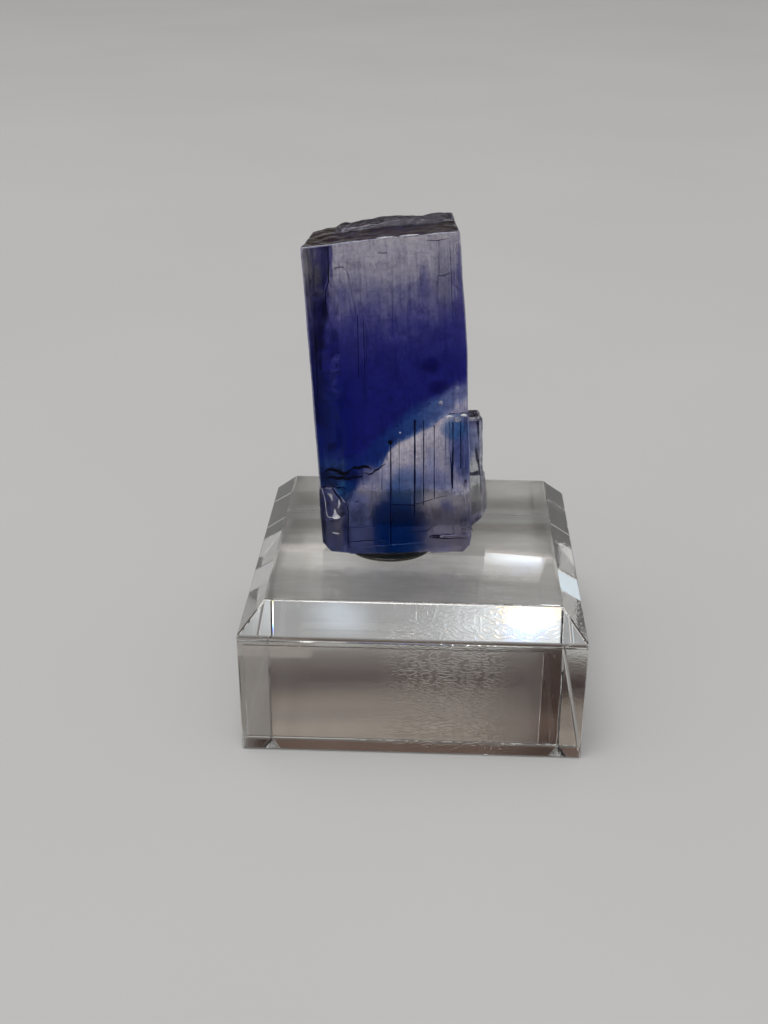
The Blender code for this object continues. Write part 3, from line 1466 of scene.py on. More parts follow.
    def _front_ledge(self, relief: Relief) -> Thing:
        """The upright ledge at the right of the front, with its foot broken off.

        Args:
            relief: The roughness of its faces.

        Returns:
            The ledge.
        """
        ledge = self._slab("front_ledge", (6.65, -5.2, -2.9), (8.85, -1.5, 15.75), 0.16, relief)
        cleave(ledge, (8.85, self.front, 0.9), (1.0, 0.0, -0.22))
        cleave(ledge, *RIGHT_TOE)
        return ledge

    def _growths(self) -> list[Thing]:
        """What grew on the prism: steps, ledges and the smaller crystal at the side.

        Returns:
            The shapes, in the order in which they are joined.
        """
        rough = Relief(0.42, (0.8, 0.9, 3.0), depth=3, shift=(2.0, 7.0, 3.0))
        fine = Relief(0.22, (0.9, 0.9, 4.0), depth=3, shift=(9.0, 1.0, 2.0))
        broken = Relief(0.34, (0.8, 0.9, 0.9), depth=3, shift=(4.0, 6.0, 2.0))
        return [
            self._top_step(),
            # The side crystal's rounded edges take the worn finish, partly a painted highlight.
            self._slab("side", (7.0, -0.2, -2.9), (11.0, 2.9, 13.3), 0.42, rough, self.worn_and_highlight),
            self._slab("side_foot", (7.5, 0.4, -2.9), (11.35, 3.8, 5.5), 0.42, rough, self.worn_and_highlight),
            self._front_ledge(fine),
            self._slab("middle_foot", (-5.9, -5.2, -2.9), (5.0, -2.0, 0.3), 0.2, broken),
            self._right_foot(broken),
            self._left_foot(fine),
        ]

    def _top_step(self) -> Thing:
        """The raised back half of the top, broken in shallow steps.

        Returns:
            The step.
        """
        step = block("top_step", (-4.6, 1.0, 34.4), (9.3, 4.93, 36.5))
        self._skin(step)
        cleave(step, (-4.6, 0.0, 35.0), (-0.5, 0.0, 1.0))
        cleave(step, (-3.2, 0.0, 35.6), (-0.075, 0.0, 1.0))
        cleave(step, (2.0, 0.0, 36.0), (0.028, 0.0, 1.0))
        cleave(step, (8.78, 4.9, 35.5), (1.0, -0.03, 0.25))
        cleave(step, (0.0, 1.0, 35.3), (0.0, -0.7, 1.0))
        # Its rounded edges take the worn finish, partly a painted highlight.
        soften(step, 0.08, 2, skin=self.worn_and_highlight)
        score(step, Along.X, -4.5, 9.2, 0.12)
        score(step, Along.Y, 1.1, 4.9, 0.08)
        Relief(0.34, (3.0, 0.7, 3.0), depth=3, terraces=6).press(step)
        return step

    def _painted_glints(self) -> list[Thing]:
        """Painted glints: small white flakes and threads on the front face, standing in for glints off
        cracks, a bubble, pits and edges.

        Returns:
            The shapes, in the order in which they are joined.
        """
        # Painted glints: on the ledge, at a bubble and pits, at the left foot and along the top's front
        # edge.
        flakes = (
            ((5.85, -5.0, 17.05), (0.27, 0.27), self.worn_and_highlight),
            ((7.6, -5.24, 15.05), (0.40, 0.30), self.worn_and_highlight),
            ((6.75, -5.24, 15.5), (0.45, 0.10), self.painted_glint),
            ((8.35, -5.2, 15.5), (0.36, 0.16), self.painted_glint),
            ((1.15, -5.0, 13.9), (0.10, 0.10), self.painted_glint),
            ((7.9, -5.0, 18.7), (0.20, 0.08), self.worn_and_highlight),
            ((2.9, -5.0, 10.9), (0.07, 0.08), self.painted_glint),
        )
        threads = (
            (((-7.15, -4.5, 7.0), 0.30), ((-7.0, -4.54, 6.5), 0.14), ((-6.95, -4.55, 6.1), 0.05)),
            (((-6.2, -4.77, 6.25), 0.03), ((-6.15, -4.78, 5.7), 0.13), ((-6.35, -4.73, 5.15), 0.04)),
            (((-6.75, -4.6, 5.05), 0.05), ((-6.7, -4.62, 4.5), 0.17), ((-6.6, -4.64, 4.05), 0.50)),
            (((-8.05, -4.24, 7.8), 0.03), ((-7.75, -4.3, 6.1), 0.05), ((-7.72, -4.32, 4.7), 0.04)),
            (((-7.72, -4.32, 4.7), 0.04), ((-7.65, -4.34, 4.15), 0.05), ((-7.5, -4.38, 4.0), 0.05)),
            (((-5.95, -4.82, 6.6), 0.02), ((-5.6, -4.88, 6.0), 0.05), ((-5.2, -4.95, 5.8), 0.02)),
        )
        level_threads = (
            (((-8.1, -4.22, 8.1), 0.03), ((-7.6, -4.36, 7.7), 0.12), ((-6.9, -4.56, 7.7), 0.14)),
            (((-7.6, -4.35, 4.0), 0.04), ((-7.0, -4.5, 3.95), 0.05), ((-6.5, -4.66, 4.0), 0.05)),
            (((-7.2, -4.5, 2.05), 0.04), ((-6.7, -4.62, 1.95), 0.09), ((-6.4, -4.7, 1.95), 0.03)),
            (((-0.2, -4.94, 35.72), 0.03), ((0.6, -4.94, 35.72), 0.10), ((1.5, -4.94, 35.74), 0.05)),
            (((2.2, -4.94, 35.76), 0.03), ((3.2, -4.94, 35.78), 0.09), ((4.2, -4.94, 35.8), 0.03)),
        )
        made = [self._flake(place, size, skin) for place, size, skin in flakes]
        made += [self._glint_all_over(rod("thread", path, 1.2), self.painted_glint) for path in threads]
        for path in level_threads:
            made.append(self._glint_all_over(rod("thread", path, 1.2, True), self.painted_glint))
        return made

    def _flake(self, place: Point, size: tuple[float, float], skin: int) -> Thing:
        """One painted glint: a thin lens with a ragged rim, standing a hair proud of the face.

        Args:
            place: Its middle.
            size: Half its width and half its height.
            skin: The index of its finish.

        Returns:
            The flake.
        """
        bpy.ops.object.select_all(action="DESELECT")
        bpy.ops.mesh.primitive_ico_sphere_add(subdivisions=3, radius=1.0, location=place)
        flake = bpy.context.object
        flake.scale = (size[0], 0.12, size[1])
        settle(flake)
        Relief(0.16, (0.3, 0.3, 0.3), depth=2, shift=place).press(flake)
        return self._glint_all_over(flake, skin)

    def _glint_all_over(self, thing: Thing, skin: int) -> Thing:
        """Gives a painted-glint flake or thread one of the worn and glint finishes all over.

        Args:
            thing: The flake or thread.
            skin: The index of its finish.

        Returns:
            The same object.
        """
        self._skin(thing)
        for face in thing.data.polygons:
            face.material_index = skin
        return thing

    def _cutters(self) -> list[Thing]:
        """Shapes that take chips, grooves and cracks out of the crystal.

        Returns:
            The shapes, in the order in which they cut.
        """
        chip = block("chip", (-10.0, -7.0, -4.0), (-5.3, -4.99, 7.9))
        self._skin(chip)
        turn_in_place(chip, 15.0, Along.Z, (-5.3, -4.99, 0.0))
        heel = block("heel", (9.0, -1.0, -6.0), (15.0, 5.0, -0.2))
        self._skin(heel)
        turn_in_place(heel, 40.0, Along.Y, (9.6, 0.0, -0.2))
        return [self._broken_corner(), chip, heel, self._ring(), *self._grooves()]

    def _broken_corner(self) -> Thing:
        """What broke off the back left corner, all the way up.

        Returns:
            The shape to cut away.
        """
        corner = block("broken_corner", (-16.0, 3.4, -4.0), (-1.0, 9.0, 38.0))
        self._skin(corner)
        turn_in_place(corner, -41.3, Along.Z, (-6.9, 3.4, 0.0))
        score(corner, Along.Z, -3.5, 37.5, 0.35)
        score(corner, Along.X, -14.0, 4.0, 0.3)
        Relief(0.9, (2.6, 2.6, 3.4), depth=3, shift=(1.0, 0.0, 3.0)).press(corner)
        return corner

    def _ring(self) -> Thing:
        """A small ring-shaped bruise on the front.

        Returns:
            The shape to cut away.
        """
        bpy.ops.object.select_all(action="DESELECT")
        bpy.ops.mesh.primitive_torus_add(
            major_radius=0.62,
            minor_radius=0.05,
            major_segments=40,
            minor_segments=8,
            location=(7.1, self.front, 25.3),
            rotation=(math.pi / 2, 0.0, 0.0),
        )
        ring = bpy.context.object
        settle(ring)
        self._skin(ring)
        Relief(0.08, (0.5, 0.5, 0.5), depth=2).press(ring)
        return ring

    def _grooves(self) -> list[Thing]:
        """Fine open cracks down the front face.

        Returns:
            The shapes to cut away.
        """
        cracks = (
            (
                *((6.30, 35.0), (6.16, 33.4), (6.20, 32.2), (6.10, 31.4)),
                *((5.85, 29.8), (5.90, 28.6), (6.22, 27.1)),
            ),
            ((7.46, 28.7), (7.68, 27.6), (8.03, 26.2)),
            ((-3.60, 32.6), (-3.38, 31.8), (-3.22, 30.2), (-3.05, 29.0), (-2.90, 27.7)),
            ((-2.34, 30.1), (-2.26, 28.7), (-2.16, 27.3)),
        )
        level_cracks = (
            ((6.1, 31.3), (6.7, 31.25), (7.3, 31.5)),
            ((-0.2, 34.15), (0.3, 34.08), (0.75, 34.1)),
            ((-5.2, 32.4), (-4.8, 32.8), (-4.26, 32.95), (-3.8, 32.8), (-3.5, 32.4)),
        )
        made = [self._groove(crack, 0.07, False) for crack in cracks]
        return made + [self._groove(crack, 0.06, True) for crack in level_cracks]

    def _groove(self, crack: Line, radius: float, level: bool) -> Thing:
        """One crack, as a thin rod sunk along the front face.

        Args:
            crack: Its points across and up the front.
            radius: The rod's radius.
            level: Whether it runs across rather than up.

        Returns:
            The rod.
        """
        path = [((across, self.front, up), radius) for across, up in crack]
        path[0] = (path[0][0], radius * 0.4)
        path[-1] = (path[-1][0], radius * 0.4)
        groove = rod("groove", path, 1.6, level)
        self._skin(groove)
        return groove


@dataclass
class ColourZones:
    """The coloured salt sealed in the crystal, as a body of plain absorption.

    Attributes:
        seat: The crystal's seat.
    """

    seat: Seat

    def build(self) -> None:
        """Models the zone and puts it in its place."""
        zone = block("violet_zone", (-7.9, -4.6, 6.0), (8.5, 4.6, 35.0))
        cleave(zone, (-6.9, 3.0, 0.0), (-0.66, 0.75, 0.0))
        cleave(zone, (-7.7, -4.6, 0.0), (-1.0, 0.15, 0.0))
        cleave(zone, (0.0, -4.6, 11.2), (0.0, -0.21, -1.0))
        cleave(zone, (-4.6, -4.6, 11.2), (0.6, -0.21, -1.0))
        score(zone, Along.Z, 10.0, 34.5, 0.7)
        score(zone, Along.X, -7.8, 8.4, 0.25)
        Relief(0.5, (0.8, 3.0, 12.0), depth=3).press(zone)
        outward(zone)
        self.seat.seat(zone)
        dress(zone, [ZoneFinish("violet_salt", (0.18, 0.16, 0.75), 0.055).build()])


@dataclass
class SealedLines:
    """Growth tubes, and near-black rods that paint the shade of cracks, just behind the crystal's front.

    Attributes:
        seat: The crystal's seat.
        front: The front face.
        behind: How far behind it the tubes lie.
    """

    seat: Seat
    front: float = -5.0
    behind: float = 0.45

    def build(self) -> None:
        """Models the tubes as one piece and the painted crack shades, with two dark specks, as another."""
        tubes = unite("growth_tubes", self._tubes())
        cracks = unite("dark_cracks", self._shaded_cracks())
        blue = SealedFinish("tube_salt", (0.004, 0.020, 0.10), (0.012, 0.05, 0.20)).build()
        # Painted shade: the dark of the cracks is a near-black finish on rods.
        crack_shade_skin = SealedFinish("crack_stain", (0.001, 0.004, 0.03), (0.003, 0.010, 0.06)).build()
        for piece, skin in ((tubes, blue), (cracks, crack_shade_skin)):
            self.seat.seat(piece)
            shade(piece, 40.0)
            dress(piece, [skin])

    def _tubes(self) -> list[Thing]:
        """Thin upright tubes filled with blue salt.

        Returns:
            The tubes.
        """
        runs = (
            ((0.08, 12.6), (-0.58, -0.2), 0.075),
            ((2.89, 15.2), (2.37, 3.5), 0.10),
            ((3.89, 15.1), (3.46, 4.8), 0.06),
            ((5.04, 14.4), (4.70, 5.5), 0.05),
            ((7.11, 14.6), (6.86, 6.6), 0.08),
            ((8.01, 14.8), (7.86, 9.0), 0.06),
            ((1.05, 13.0), (0.75, 6.5), 0.03),
            ((-0.96, 11.6), (-1.20, 7.0), 0.025),
            ((6.35, 14.6), (6.20, 9.5), 0.025),
            ((-2.15, 27.0), (-2.45, 18.5), 0.03),
            ((-2.75, 27.5), (-3.05, 20.5), 0.035),
            ((-1.9, 26.0), (-2.1, 22.0), 0.02),
            ((1.1, 29.5), (0.95, 25.5), 0.02),
            ((-7.3, 29.0), (-7.75, 17.0), 0.03),
        )
        made = []
        for (top_across, top), (low_across, low), radius in runs:
            steps = max(int((top - low) / 0.6), 4)
            path = []
            for index in range(steps + 1):
                share = index / steps
                across = top_across + share * (low_across - top_across)
                wave = 0.18 * math.sin(5.1 * index + 3.0 * top_across)
                place = (across, self.front + self.behind, top + share * (low - top))
                path.append((place, radius * (1.0 + wave)))
            made.append(rod("tube", path))
        return made

    def _shaded_cracks(self) -> list[Thing]:
        """Near-black rods, painted shade where cracks are seen edge-on from the front.

        Returns:
            The painted crack shades and the two dark specks at their tops.
        """
        fracture = (
            *((-7.6, 9.7), (-6.9, 9.95), (-6.3, 9.75), (-5.9, 9.45)),
            *((-5.4, 9.2), (-4.9, 9.35), (-4.5, 9.75)),
        )
        upper_step = ((-4.6, 9.7), (-4.2, 9.95), (-3.7, 9.85), (-3.2, 10.0), (-2.6, 9.9), (-2.3, 9.6))
        branch = (
            *((-3.1, 9.3), (-2.6, 9.05), (-2.2, 9.1), (-1.9, 9.45)),
            *((-1.4, 9.6), (-1.1, 9.95), (-0.6, 10.2)),
        )
        wedge = (
            *((-7.4, 8.95), (-6.8, 9.05), (-6.2, 8.75), (-5.6, 8.85)),
            *((-5.0, 8.6), (-4.3, 8.8), (-3.4, 8.75)),
        )
        splinter = ((-7.9, 8.0), (-7.2, 7.75), (-6.7, 7.9), (-6.2, 7.6), (-5.8, 7.75), (-5.3, 7.5))
        corner = ((-6.9, 7.75), (-6.4, 6.8), (-5.75, 6.05), (-5.2, 5.9))
        floor_line = (
            *((-2.1, 5.7), (-1.0, 5.5), (-0.1, 5.2), (1.2, 5.0)),
            *((2.1, 4.9), (3.0, 5.1), (4.5, 5.5), (6.2, 5.8)),
        )
        arc = (
            *((2.6, 4.3), (3.4, 4.05), (4.2, 3.5), (4.4, 2.8)),
            *((4.2, 2.0), (3.6, 1.5), (2.9, 1.6), (1.3, 1.6)),
        )
        step_line = ((4.2, 0.65), (5.6, 0.45), (8.0, 0.35))
        foot_line = ((-5.1, 0.9), (-4.3, 0.85), (-3.5, 0.95), (-2.6, 0.8))
        hook = ((-4.7, 6.15), (-4.3, 5.8), (-4.0, 5.9), (-3.95, 6.2))
        seam = ((-5.3, 5.9), (-5.2, 4.3), (-5.45, 1.5), (-5.4, 0.1))
        dash = ((-0.2, 34.15), (0.3, 34.08), (0.75, 34.1))
        lobe = ((-5.2, 32.5), (-4.8, 32.85), (-4.26, 32.95), (-3.8, 32.8), (-3.5, 32.3))
        tie = ((6.1, 31.3), (6.7, 31.25), (7.3, 31.5))
        cap = ((5.0, 35.1), (6.0, 35.0), (7.3, 35.15))
        level = (
            (fracture, 0.21),
            (upper_step, 0.17),
            (branch, 0.10),
            (wedge, 0.15),
            (splinter, 0.10),
            (floor_line, 0.05),
            (arc, 0.04),
            (step_line, 0.045),
            (foot_line, 0.045),
            (hook, 0.045),
            (dash, 0.05),
            (lobe, 0.03),
            (tie, 0.05),
            (cap, 0.04),
        )
        right_crack = (
            *((6.22, 27.1), (5.9, 28.6), (5.85, 29.8), (6.1, 31.4)),
            *((6.2, 32.2), (6.16, 33.4), (6.3, 35.0)),
        )
        panel_side = ((7.5, 26.4), (7.45, 29.0), (7.5, 32.0), (7.42, 35.0))
        short_crack = ((8.03, 26.2), (7.68, 27.6), (7.46, 28.7))
        lobe_side = ((-2.9, 27.7), (-3.05, 29.0), (-3.22, 30.2), (-3.38, 31.8), (-3.6, 32.5))
        lobe_line = ((-2.16, 27.3), (-2.26, 28.7), (-2.34, 30.1))
        strip_side = ((-6.1, 28.4), (-5.95, 30.4), (-5.55, 31.4), (-5.45, 33.2), (-5.4, 34.6))
        upright = (
            (corner, 0.13),
            (seam, 0.05),
            (right_crack, 0.05),
            (panel_side, 0.03),
            (short_crack, 0.06),
            (lobe_side, 0.055),
            (lobe_line, 0.05),
            (strip_side, 0.07),
        )
        made = [self._shaded_crack(points, radius, True) for points, radius in level]
        made += [self._shaded_crack(points, radius, False) for points, radius in upright]
        made.append(self._dot((0.02, 12.75), 0.28))
        made.append(self._dot((1.0, 14.6), 0.10))
        return made

    def _shaded_crack(self, points: Line, radius: float, level: bool) -> Thing:
        """One painted crack shade: a near-black rod, thicker in its middle.

        Args:
            points: Its points across and up the front.
            radius: The radius of its middle.
            level: Whether it runs across rather than up.

        Returns:
            The rod.
        """
        last = len(points) - 1
        path = []
        for index, (across, up) in enumerate(points):
            thickness = radius * (0.25 + 0.75 * math.sin(math.pi * (index + 0.5) / (last + 1)))
            path.append(((across, self.front + 3.5 * radius + 0.12, up), thickness))
        return rod("crack", path, 2.5, level)

    def _dot(self, place: tuple[float, float], radius: float) -> Thing:
        """A dark speck.

        Args:
            place: Its place across and up the front.
            radius: Its radius.

        Returns:
            The speck.
        """
        bpy.ops.object.select_all(action="DESELECT")
        spot = (place[0], self.front + self.behind, place[1])
        bpy.ops.mesh.primitive_ico_sphere_add(subdivisions=2, radius=radius, location=spot)
        dot = bpy.context.object
        settle(dot)
        Relief(radius * 0.6, (0.3, 0.3, 0.3), depth=1).press(dot)
        return dot


# ---------------------------------------------------------------------------------------------------------
# The block, the pad and the label
# ---------------------------------------------------------------------------------------------------------


@dataclass
class Block:
    """The clear acrylic block.

    Attributes:
        side: The length of its four sides.
        height: Its height.
        bevel_inset: How far the bevels go in, seen from above.
        bevel_drop: How far down they reach.
        edge_round: The rounding of its edges.
        line_reach: How far from the middle the lines cut in its faces go.
        line_step: The distance between them.
    """

    side: float = 38.1
    height: float = 18.0
    bevel_inset: float = 2.9
    bevel_drop: float = 3.15
    edge_round: float = 0.22
    line_reach: float = 18.0
    line_step: float = 0.4

    def build(self) -> None:
        """Models the block and puts it in its place."""
        half = self.side / 2
        body = block("acrylic_block", (-half, -half, 0.0), (half, half, self.height - self.bevel_drop))
        bpy.ops.object.mode_set(mode="EDIT")
        bpy.ops.mesh.select_mode(type="FACE")
        bpy.ops.mesh.select_all(action="DESELECT")
        bpy.ops.object.mode_set(mode="OBJECT")
        top = max(body.data.polygons, key=lambda face: face.center.z)
        top.select = True
        bpy.ops.object.mode_set(mode="EDIT")
        bpy.ops.mesh.extrude_region_move(TRANSFORM_OT_translate={"value": (0.0, 0.0, self.bevel_drop)})
        shrink = (self.side - 2 * self.bevel_inset) / self.side
        bpy.ops.transform.resize(value=(shrink, shrink, 1.0), center_override=(0.0, 0.0, self.height))
        bpy.ops.object.mode_set(mode="OBJECT")
        soften(body, self.edge_round, 3)
        for along in (Along.X, Along.Y):
            score(body, along, -self.line_reach, self.line_reach, self.line_step)
        to_metres(body)
        shade(body, 5.0)
        dress(body, [AcrylicFinish().build()], "acrylic_base")


@dataclass
class Label:
    """The blank film on the block's front.

    Attributes:
        left: Its left edge.
        width: Its width.
        top: Its upper edge.
        height: Its height, the width of the tape that it is cut from.
        face: The block's front face.
        gap: The gap that keeps it clear of the block.
        thickness: Its thickness.
    """

    left: float = -18.35
    width: float = 32.6
    top: float = 13.95
    height: float = 12.0
    face: float = -19.05
    gap: float = 0.02
    thickness: float = 0.16

    def build(self) -> None:
        """Models the film and puts it in its place."""
        back = self.face - self.gap
        film = block(
            "label_strip",
            (self.left, back - self.thickness, self.top - self.height),
            (self.left + self.width, back, self.top),
        )
        soften(film, 0.05, 2)
        to_metres(film)
        shade(film, 20.0)
        dress(film, [FilmFinish().build()], "label_film")


@dataclass
class Pad:
    """The pressed pad of clear adhesive under the crystal: an oval disc with a rounded rim.

    Attributes:
        centre: The middle of its underside.
        half_width: Half its width.
        half_depth: Half its depth.
        thickness: Its thickness.
    """

    centre: Point = (-3.1, -2.9, 18.02)
    half_width: float = 5.0
    half_depth: float = 4.3
    thickness: float = 0.36

    def build(self) -> None:
        """Models the pad and puts it in its place."""
        bpy.ops.object.select_all(action="DESELECT")
        x, y, z = self.centre
        middle = (x, y, z + self.thickness / 2)
        bpy.ops.mesh.primitive_cylinder_add(vertices=96, radius=1.0, depth=self.thickness, location=middle)
        pad = bpy.context.object
        pad.name = "adhesive_pad"
        pad.scale = (self.half_width, self.half_depth, 1.0)
        settle(pad)
        soften(pad, 0.15, 3)
        to_metres(pad)
        shade(pad, 40.0)
        dress(pad, [AdhesiveFinish().build()], "mounting_tack")


# ---------------------------------------------------------------------------------------------------------
# The studio
# ---------------------------------------------------------------------------------------------------------


@dataclass(frozen=True)
class Glow:
    """A bright spot of the studio's sky, far behind, which shows in the block's front bevel.

    Attributes:
        elevation: Its height over the horizon, in degrees.
        azimuth: Its direction, in degrees from straight behind towards the right.
        inner: The radius that is fully bright, in degrees.
        outer: The radius at which it has faded out, in degrees.
        colour: Its light.
    """

    elevation: float
    azimuth: float
    inner: float
    outer: float
    colour: Colour

    def direction(self) -> Point:
        """The spot's direction, as a unit vector."""
        up, turn = math.radians(self.elevation), math.radians(self.azimuth)
        return (math.cos(up) * math.sin(turn), math.cos(up) * math.cos(turn), math.sin(up))


GLOWS = (
    Glow(57.7, 7.9, 0.68, 1.30, (3.2, 0.0, 0.0)),
    Glow(57.9, 7.9, 0.68, 1.25, (0.0, 3.2, 0.0)),
    Glow(58.25, 7.9, 0.66, 1.18, (0.0, 0.0, 3.2)),
    Glow(57.9, 7.9, 0.3, 5.4, (0.68, 0.73, 0.76)),
    Glow(57.2, 5.7, 0.1, 0.8, (1.1, 0.6, 0.0)),
    Glow(57.2, 10.1, 0.1, 0.8, (1.1, 0.6, 0.0)),
    Glow(59.2, 7.4, 0.1, 1.1, (0.0, 0.15, 0.7)),
    Glow(58.2, -8.0, 0.1, 1.9, (0.22, 0.27, 0.33)),
    Glow(44.8, -50.0, 2.0, 7.0, (0.06, 0.20, 0.30)),
)


@dataclass
class Studio:
    """A pale floor with painted light and shade under the block, soft light and the camera.

    Attributes:
        floor_tone: The floor's grey.
        painted_shade_far: The floor's painted shade under the block's back edge.
        painted_light_behind: Its painted light under the block's back half.
        painted_light_full: Its painted light where the block gathers the most light.
        painted_light_rim: Where the painted light and shade fade out and where they are full, from the
            block's middle.
        strip_lean: How much the sky's lit strip rises to the right.
        far_side: The backdrop's tone past its brown right half.
        shine: The light that the right of the lit strip adds.
        camera_place: The camera's place, in millimetres.
        camera_azimuth: Its turn round the object, in degrees.
        camera_elevation: How far it looks down, in degrees.
        camera_roll: Its roll, in degrees.
        lens: Its focal length, in millimetres.
    """

    floor_tone: float = 0.58
    painted_shade_far: Colour = (0.40, 0.39, 0.37)
    painted_light_behind: Colour = (0.78, 0.77, 0.75)
    painted_light_full: Colour = (0.98, 0.97, 0.95)
    painted_light_rim: tuple[float, float] = (17.6, 16.4)
    strip_lean: float = 0.0187
    far_side: Colour = (0.20, 0.19, 0.175)
    shine: Colour = (4.3, 4.9, 5.3)
    camera_place: Point = (2.49, -138.28, 89.30)
    camera_azimuth: float = 2.64
    camera_elevation: float = 26.30
    camera_roll: float = 0.063
    lens: float = 45.65

    def build(self) -> None:
        """Sets up the floor, the lights and the camera."""
        self._floor()
        self._world()
        self._lamp("soft_top", (-150.0, -260.0, 1200.0), 600.0, 5.0)
        self._camera()

    def _floor(self) -> None:
        """The pale floor, a hair below the block, with painted light and shade beneath the block."""
        bpy.ops.object.select_all(action="DESELECT")
        bpy.ops.mesh.primitive_plane_add(size=6.0, location=(0.0, 0.0, -0.00005))
        floor = bpy.context.object
        floor.name = "floor"
        graph = Graph("pale_floor")
        tone = graph.noise(graph.place(), 0.01, 2.0)
        low, high = self.floor_tone * 0.98, self.floor_tone * 1.02
        plain = graph.ramp(tone, ((0.3, (low,) * 3), (0.7, (high,) * 3)))
        # The floor's colour carries painted light and shade under the block.
        graph.feed(graph.shader.inputs["Base Color"], self._painted_caustics(graph, plain))
        graph.shader.inputs["Roughness"].default_value = 0.9
        graph.shader.inputs["Specular IOR Level"].default_value = 0.2
        floor.data.materials.append(graph.material)

    def _painted_caustics(self, graph: Graph, plain: object) -> Socket:
        """The floor's tone, with painted light and shade on the part beneath the block, standing in for the
        light that the block gathers there.

        Args:
            graph: The floor's nodes.
            plain: The tone beside the block.

        Returns:
            The tone everywhere.
        """
        spot = graph.place()
        across, along, _ = graph.apart(spot)
        cloud = graph.math("SUBTRACT", graph.noise(spot, 0.5, 4.0, 0.6), 0.5)
        beneath = graph.math(
            "MULTIPLY",
            graph.span(graph.math("ABSOLUTE", across), *self.painted_light_rim),
            graph.span(graph.math("ABSOLUTE", along), *self.painted_light_rim),
        )
        edge = graph.math("SUBTRACT", graph.math("MULTIPLY", across, -0.03), along)
        depth = graph.math("ADD", edge, 8.45)
        front = graph.math("ADD", depth, graph.math("MULTIPLY", cloud, 3.0))
        # Painted light: a bright band just in front of a line across the block, fading towards the front.
        lit = graph.math("MULTIPLY", graph.span(depth, 0.0, 0.12), graph.span(front, 6.6, 3.4))
        slant = graph.math("SUBTRACT", across, graph.math("MULTIPLY", along, 0.22))
        lit = graph.math("MULTIPLY", lit, graph.span(slant, 14.9, 14.5))
        # Painted light behind that line, fading to painted shade under the block's back edge.
        behind = graph.math("MULTIPLY", graph.span(depth, 0.12, 0.0), beneath)
        fading = graph.blend(graph.span(along, 11.5, 15.5), self.painted_light_behind, self.painted_shade_far)
        tone = graph.blend(behind, plain, fading)
        return graph.blend(graph.math("MULTIPLY", lit, beneath), tone, self.painted_light_full)

    def _world(self) -> None:
        """A soft grey studio, brighter overhead and dim behind the object."""
        world = bpy.data.worlds.new("studio")
        bpy.context.scene.world = world
        world.use_nodes = True
        nodes = Nodes(world.node_tree)
        sky = world.node_tree.nodes["Background"]
        toward = nodes.node("ShaderNodeTexCoord").outputs["Generated"]
        _, _, up = nodes.apart(toward)
        level = nodes.vector("MULTIPLY", toward, (1.0, 1.0, 0.0))
        flat = nodes.vector("NORMALIZE", level, (0.0, 0.0, 0.0))
        side, facing, _ = nodes.apart(flat)
        around = nodes.ramp(up, self._greys(((0.0, 0.30), (0.25, 0.30), (0.65, 0.62), (1.0, 1.0))))
        dimmer = nodes.math("MULTIPLY", nodes.span(side, 0.45, 0.72), nodes.span(up, 0.90, 0.80))
        around = nodes.blend(dimmer, around, nodes.blend(1.0, around, (0.58, 0.58, 0.60), "MULTIPLY"))
        colour = nodes.blend(nodes.span(facing, 0.78, 0.96), around, self._backdrop(nodes, side, up))
        for glow in GLOWS:
            away = nodes.vector("DISTANCE", toward, glow.direction())
            share = nodes.span(away, math.radians(glow.outer), math.radians(glow.inner))
            colour = nodes.blend(share, colour, nodes.blend(1.0, colour, glow.colour, "ADD"))
        nodes.feed(sky.inputs["Color"], colour)
        sky.inputs["Strength"].default_value = 1.0

    def _backdrop(self, nodes: Nodes, side: object, up: object) -> Socket:
        """The dark, brownish part of the studio behind the object, with a lit strip across it.

        Args:
            nodes: The sky's nodes.
            side: How far to the right it is, from -1 to 1.
            up: How high it is, from -1 to 1.

        Returns:
            The colour.
        """
        left = (
            (0.000, (0.24, 0.235, 0.23)),
            (0.200, (0.10, 0.060, 0.045)),
            (0.260, (0.11, 0.070, 0.052)),
            (0.400, (0.12, 0.115, 0.11)),
            (0.440, (0.12, 0.118, 0.115)),
            (0.4686, (0.25, 0.245, 0.24)),
            (0.4690, (6.00, 5.20, 4.80)),
            (0.4704, (5.50, 4.80, 4.40)),
            (0.4710, (1.10, 1.05, 1.00)),
            (0.481, (0.90, 0.85, 0.78)),
            (0.488, (0.50, 0.48, 0.44)),
            (0.496, (0.42, 0.41, 0.39)),
            (0.512, (0.42, 0.41, 0.39)),
            (0.526, (0.44, 0.44, 0.42)),
            (0.5315, (0.36, 0.36, 0.34)),
            (0.5355, (0.16, 0.145, 0.130)),
            (0.545, (0.075, 0.055, 0.050)),
            (0.5505, (0.040, 0.024, 0.022)),
            (0.557, (0.040, 0.024, 0.022)),
            (0.5635, (0.15, 0.120, 0.095)),
            (0.569, (0.22, 0.190, 0.160)),
            (0.576, (0.18, 0.150, 0.135)),
            (0.582, (0.29, 0.250, 0.215)),
            (0.588, (0.28, 0.240, 0.200)),
            (0.594, (0.23, 0.200, 0.165)),
            (0.605, (0.09, 0.065, 0.050)),
            (0.700, (0.14, 0.115, 0.100)),
            (0.780, (0.30, 0.305, 0.31)),
            (0.840, (0.36, 0.365, 0.37)),
            (0.860, (0.36, 0.365, 0.37)),
            (1.000, (1.00, 0.985, 0.96)),
        )
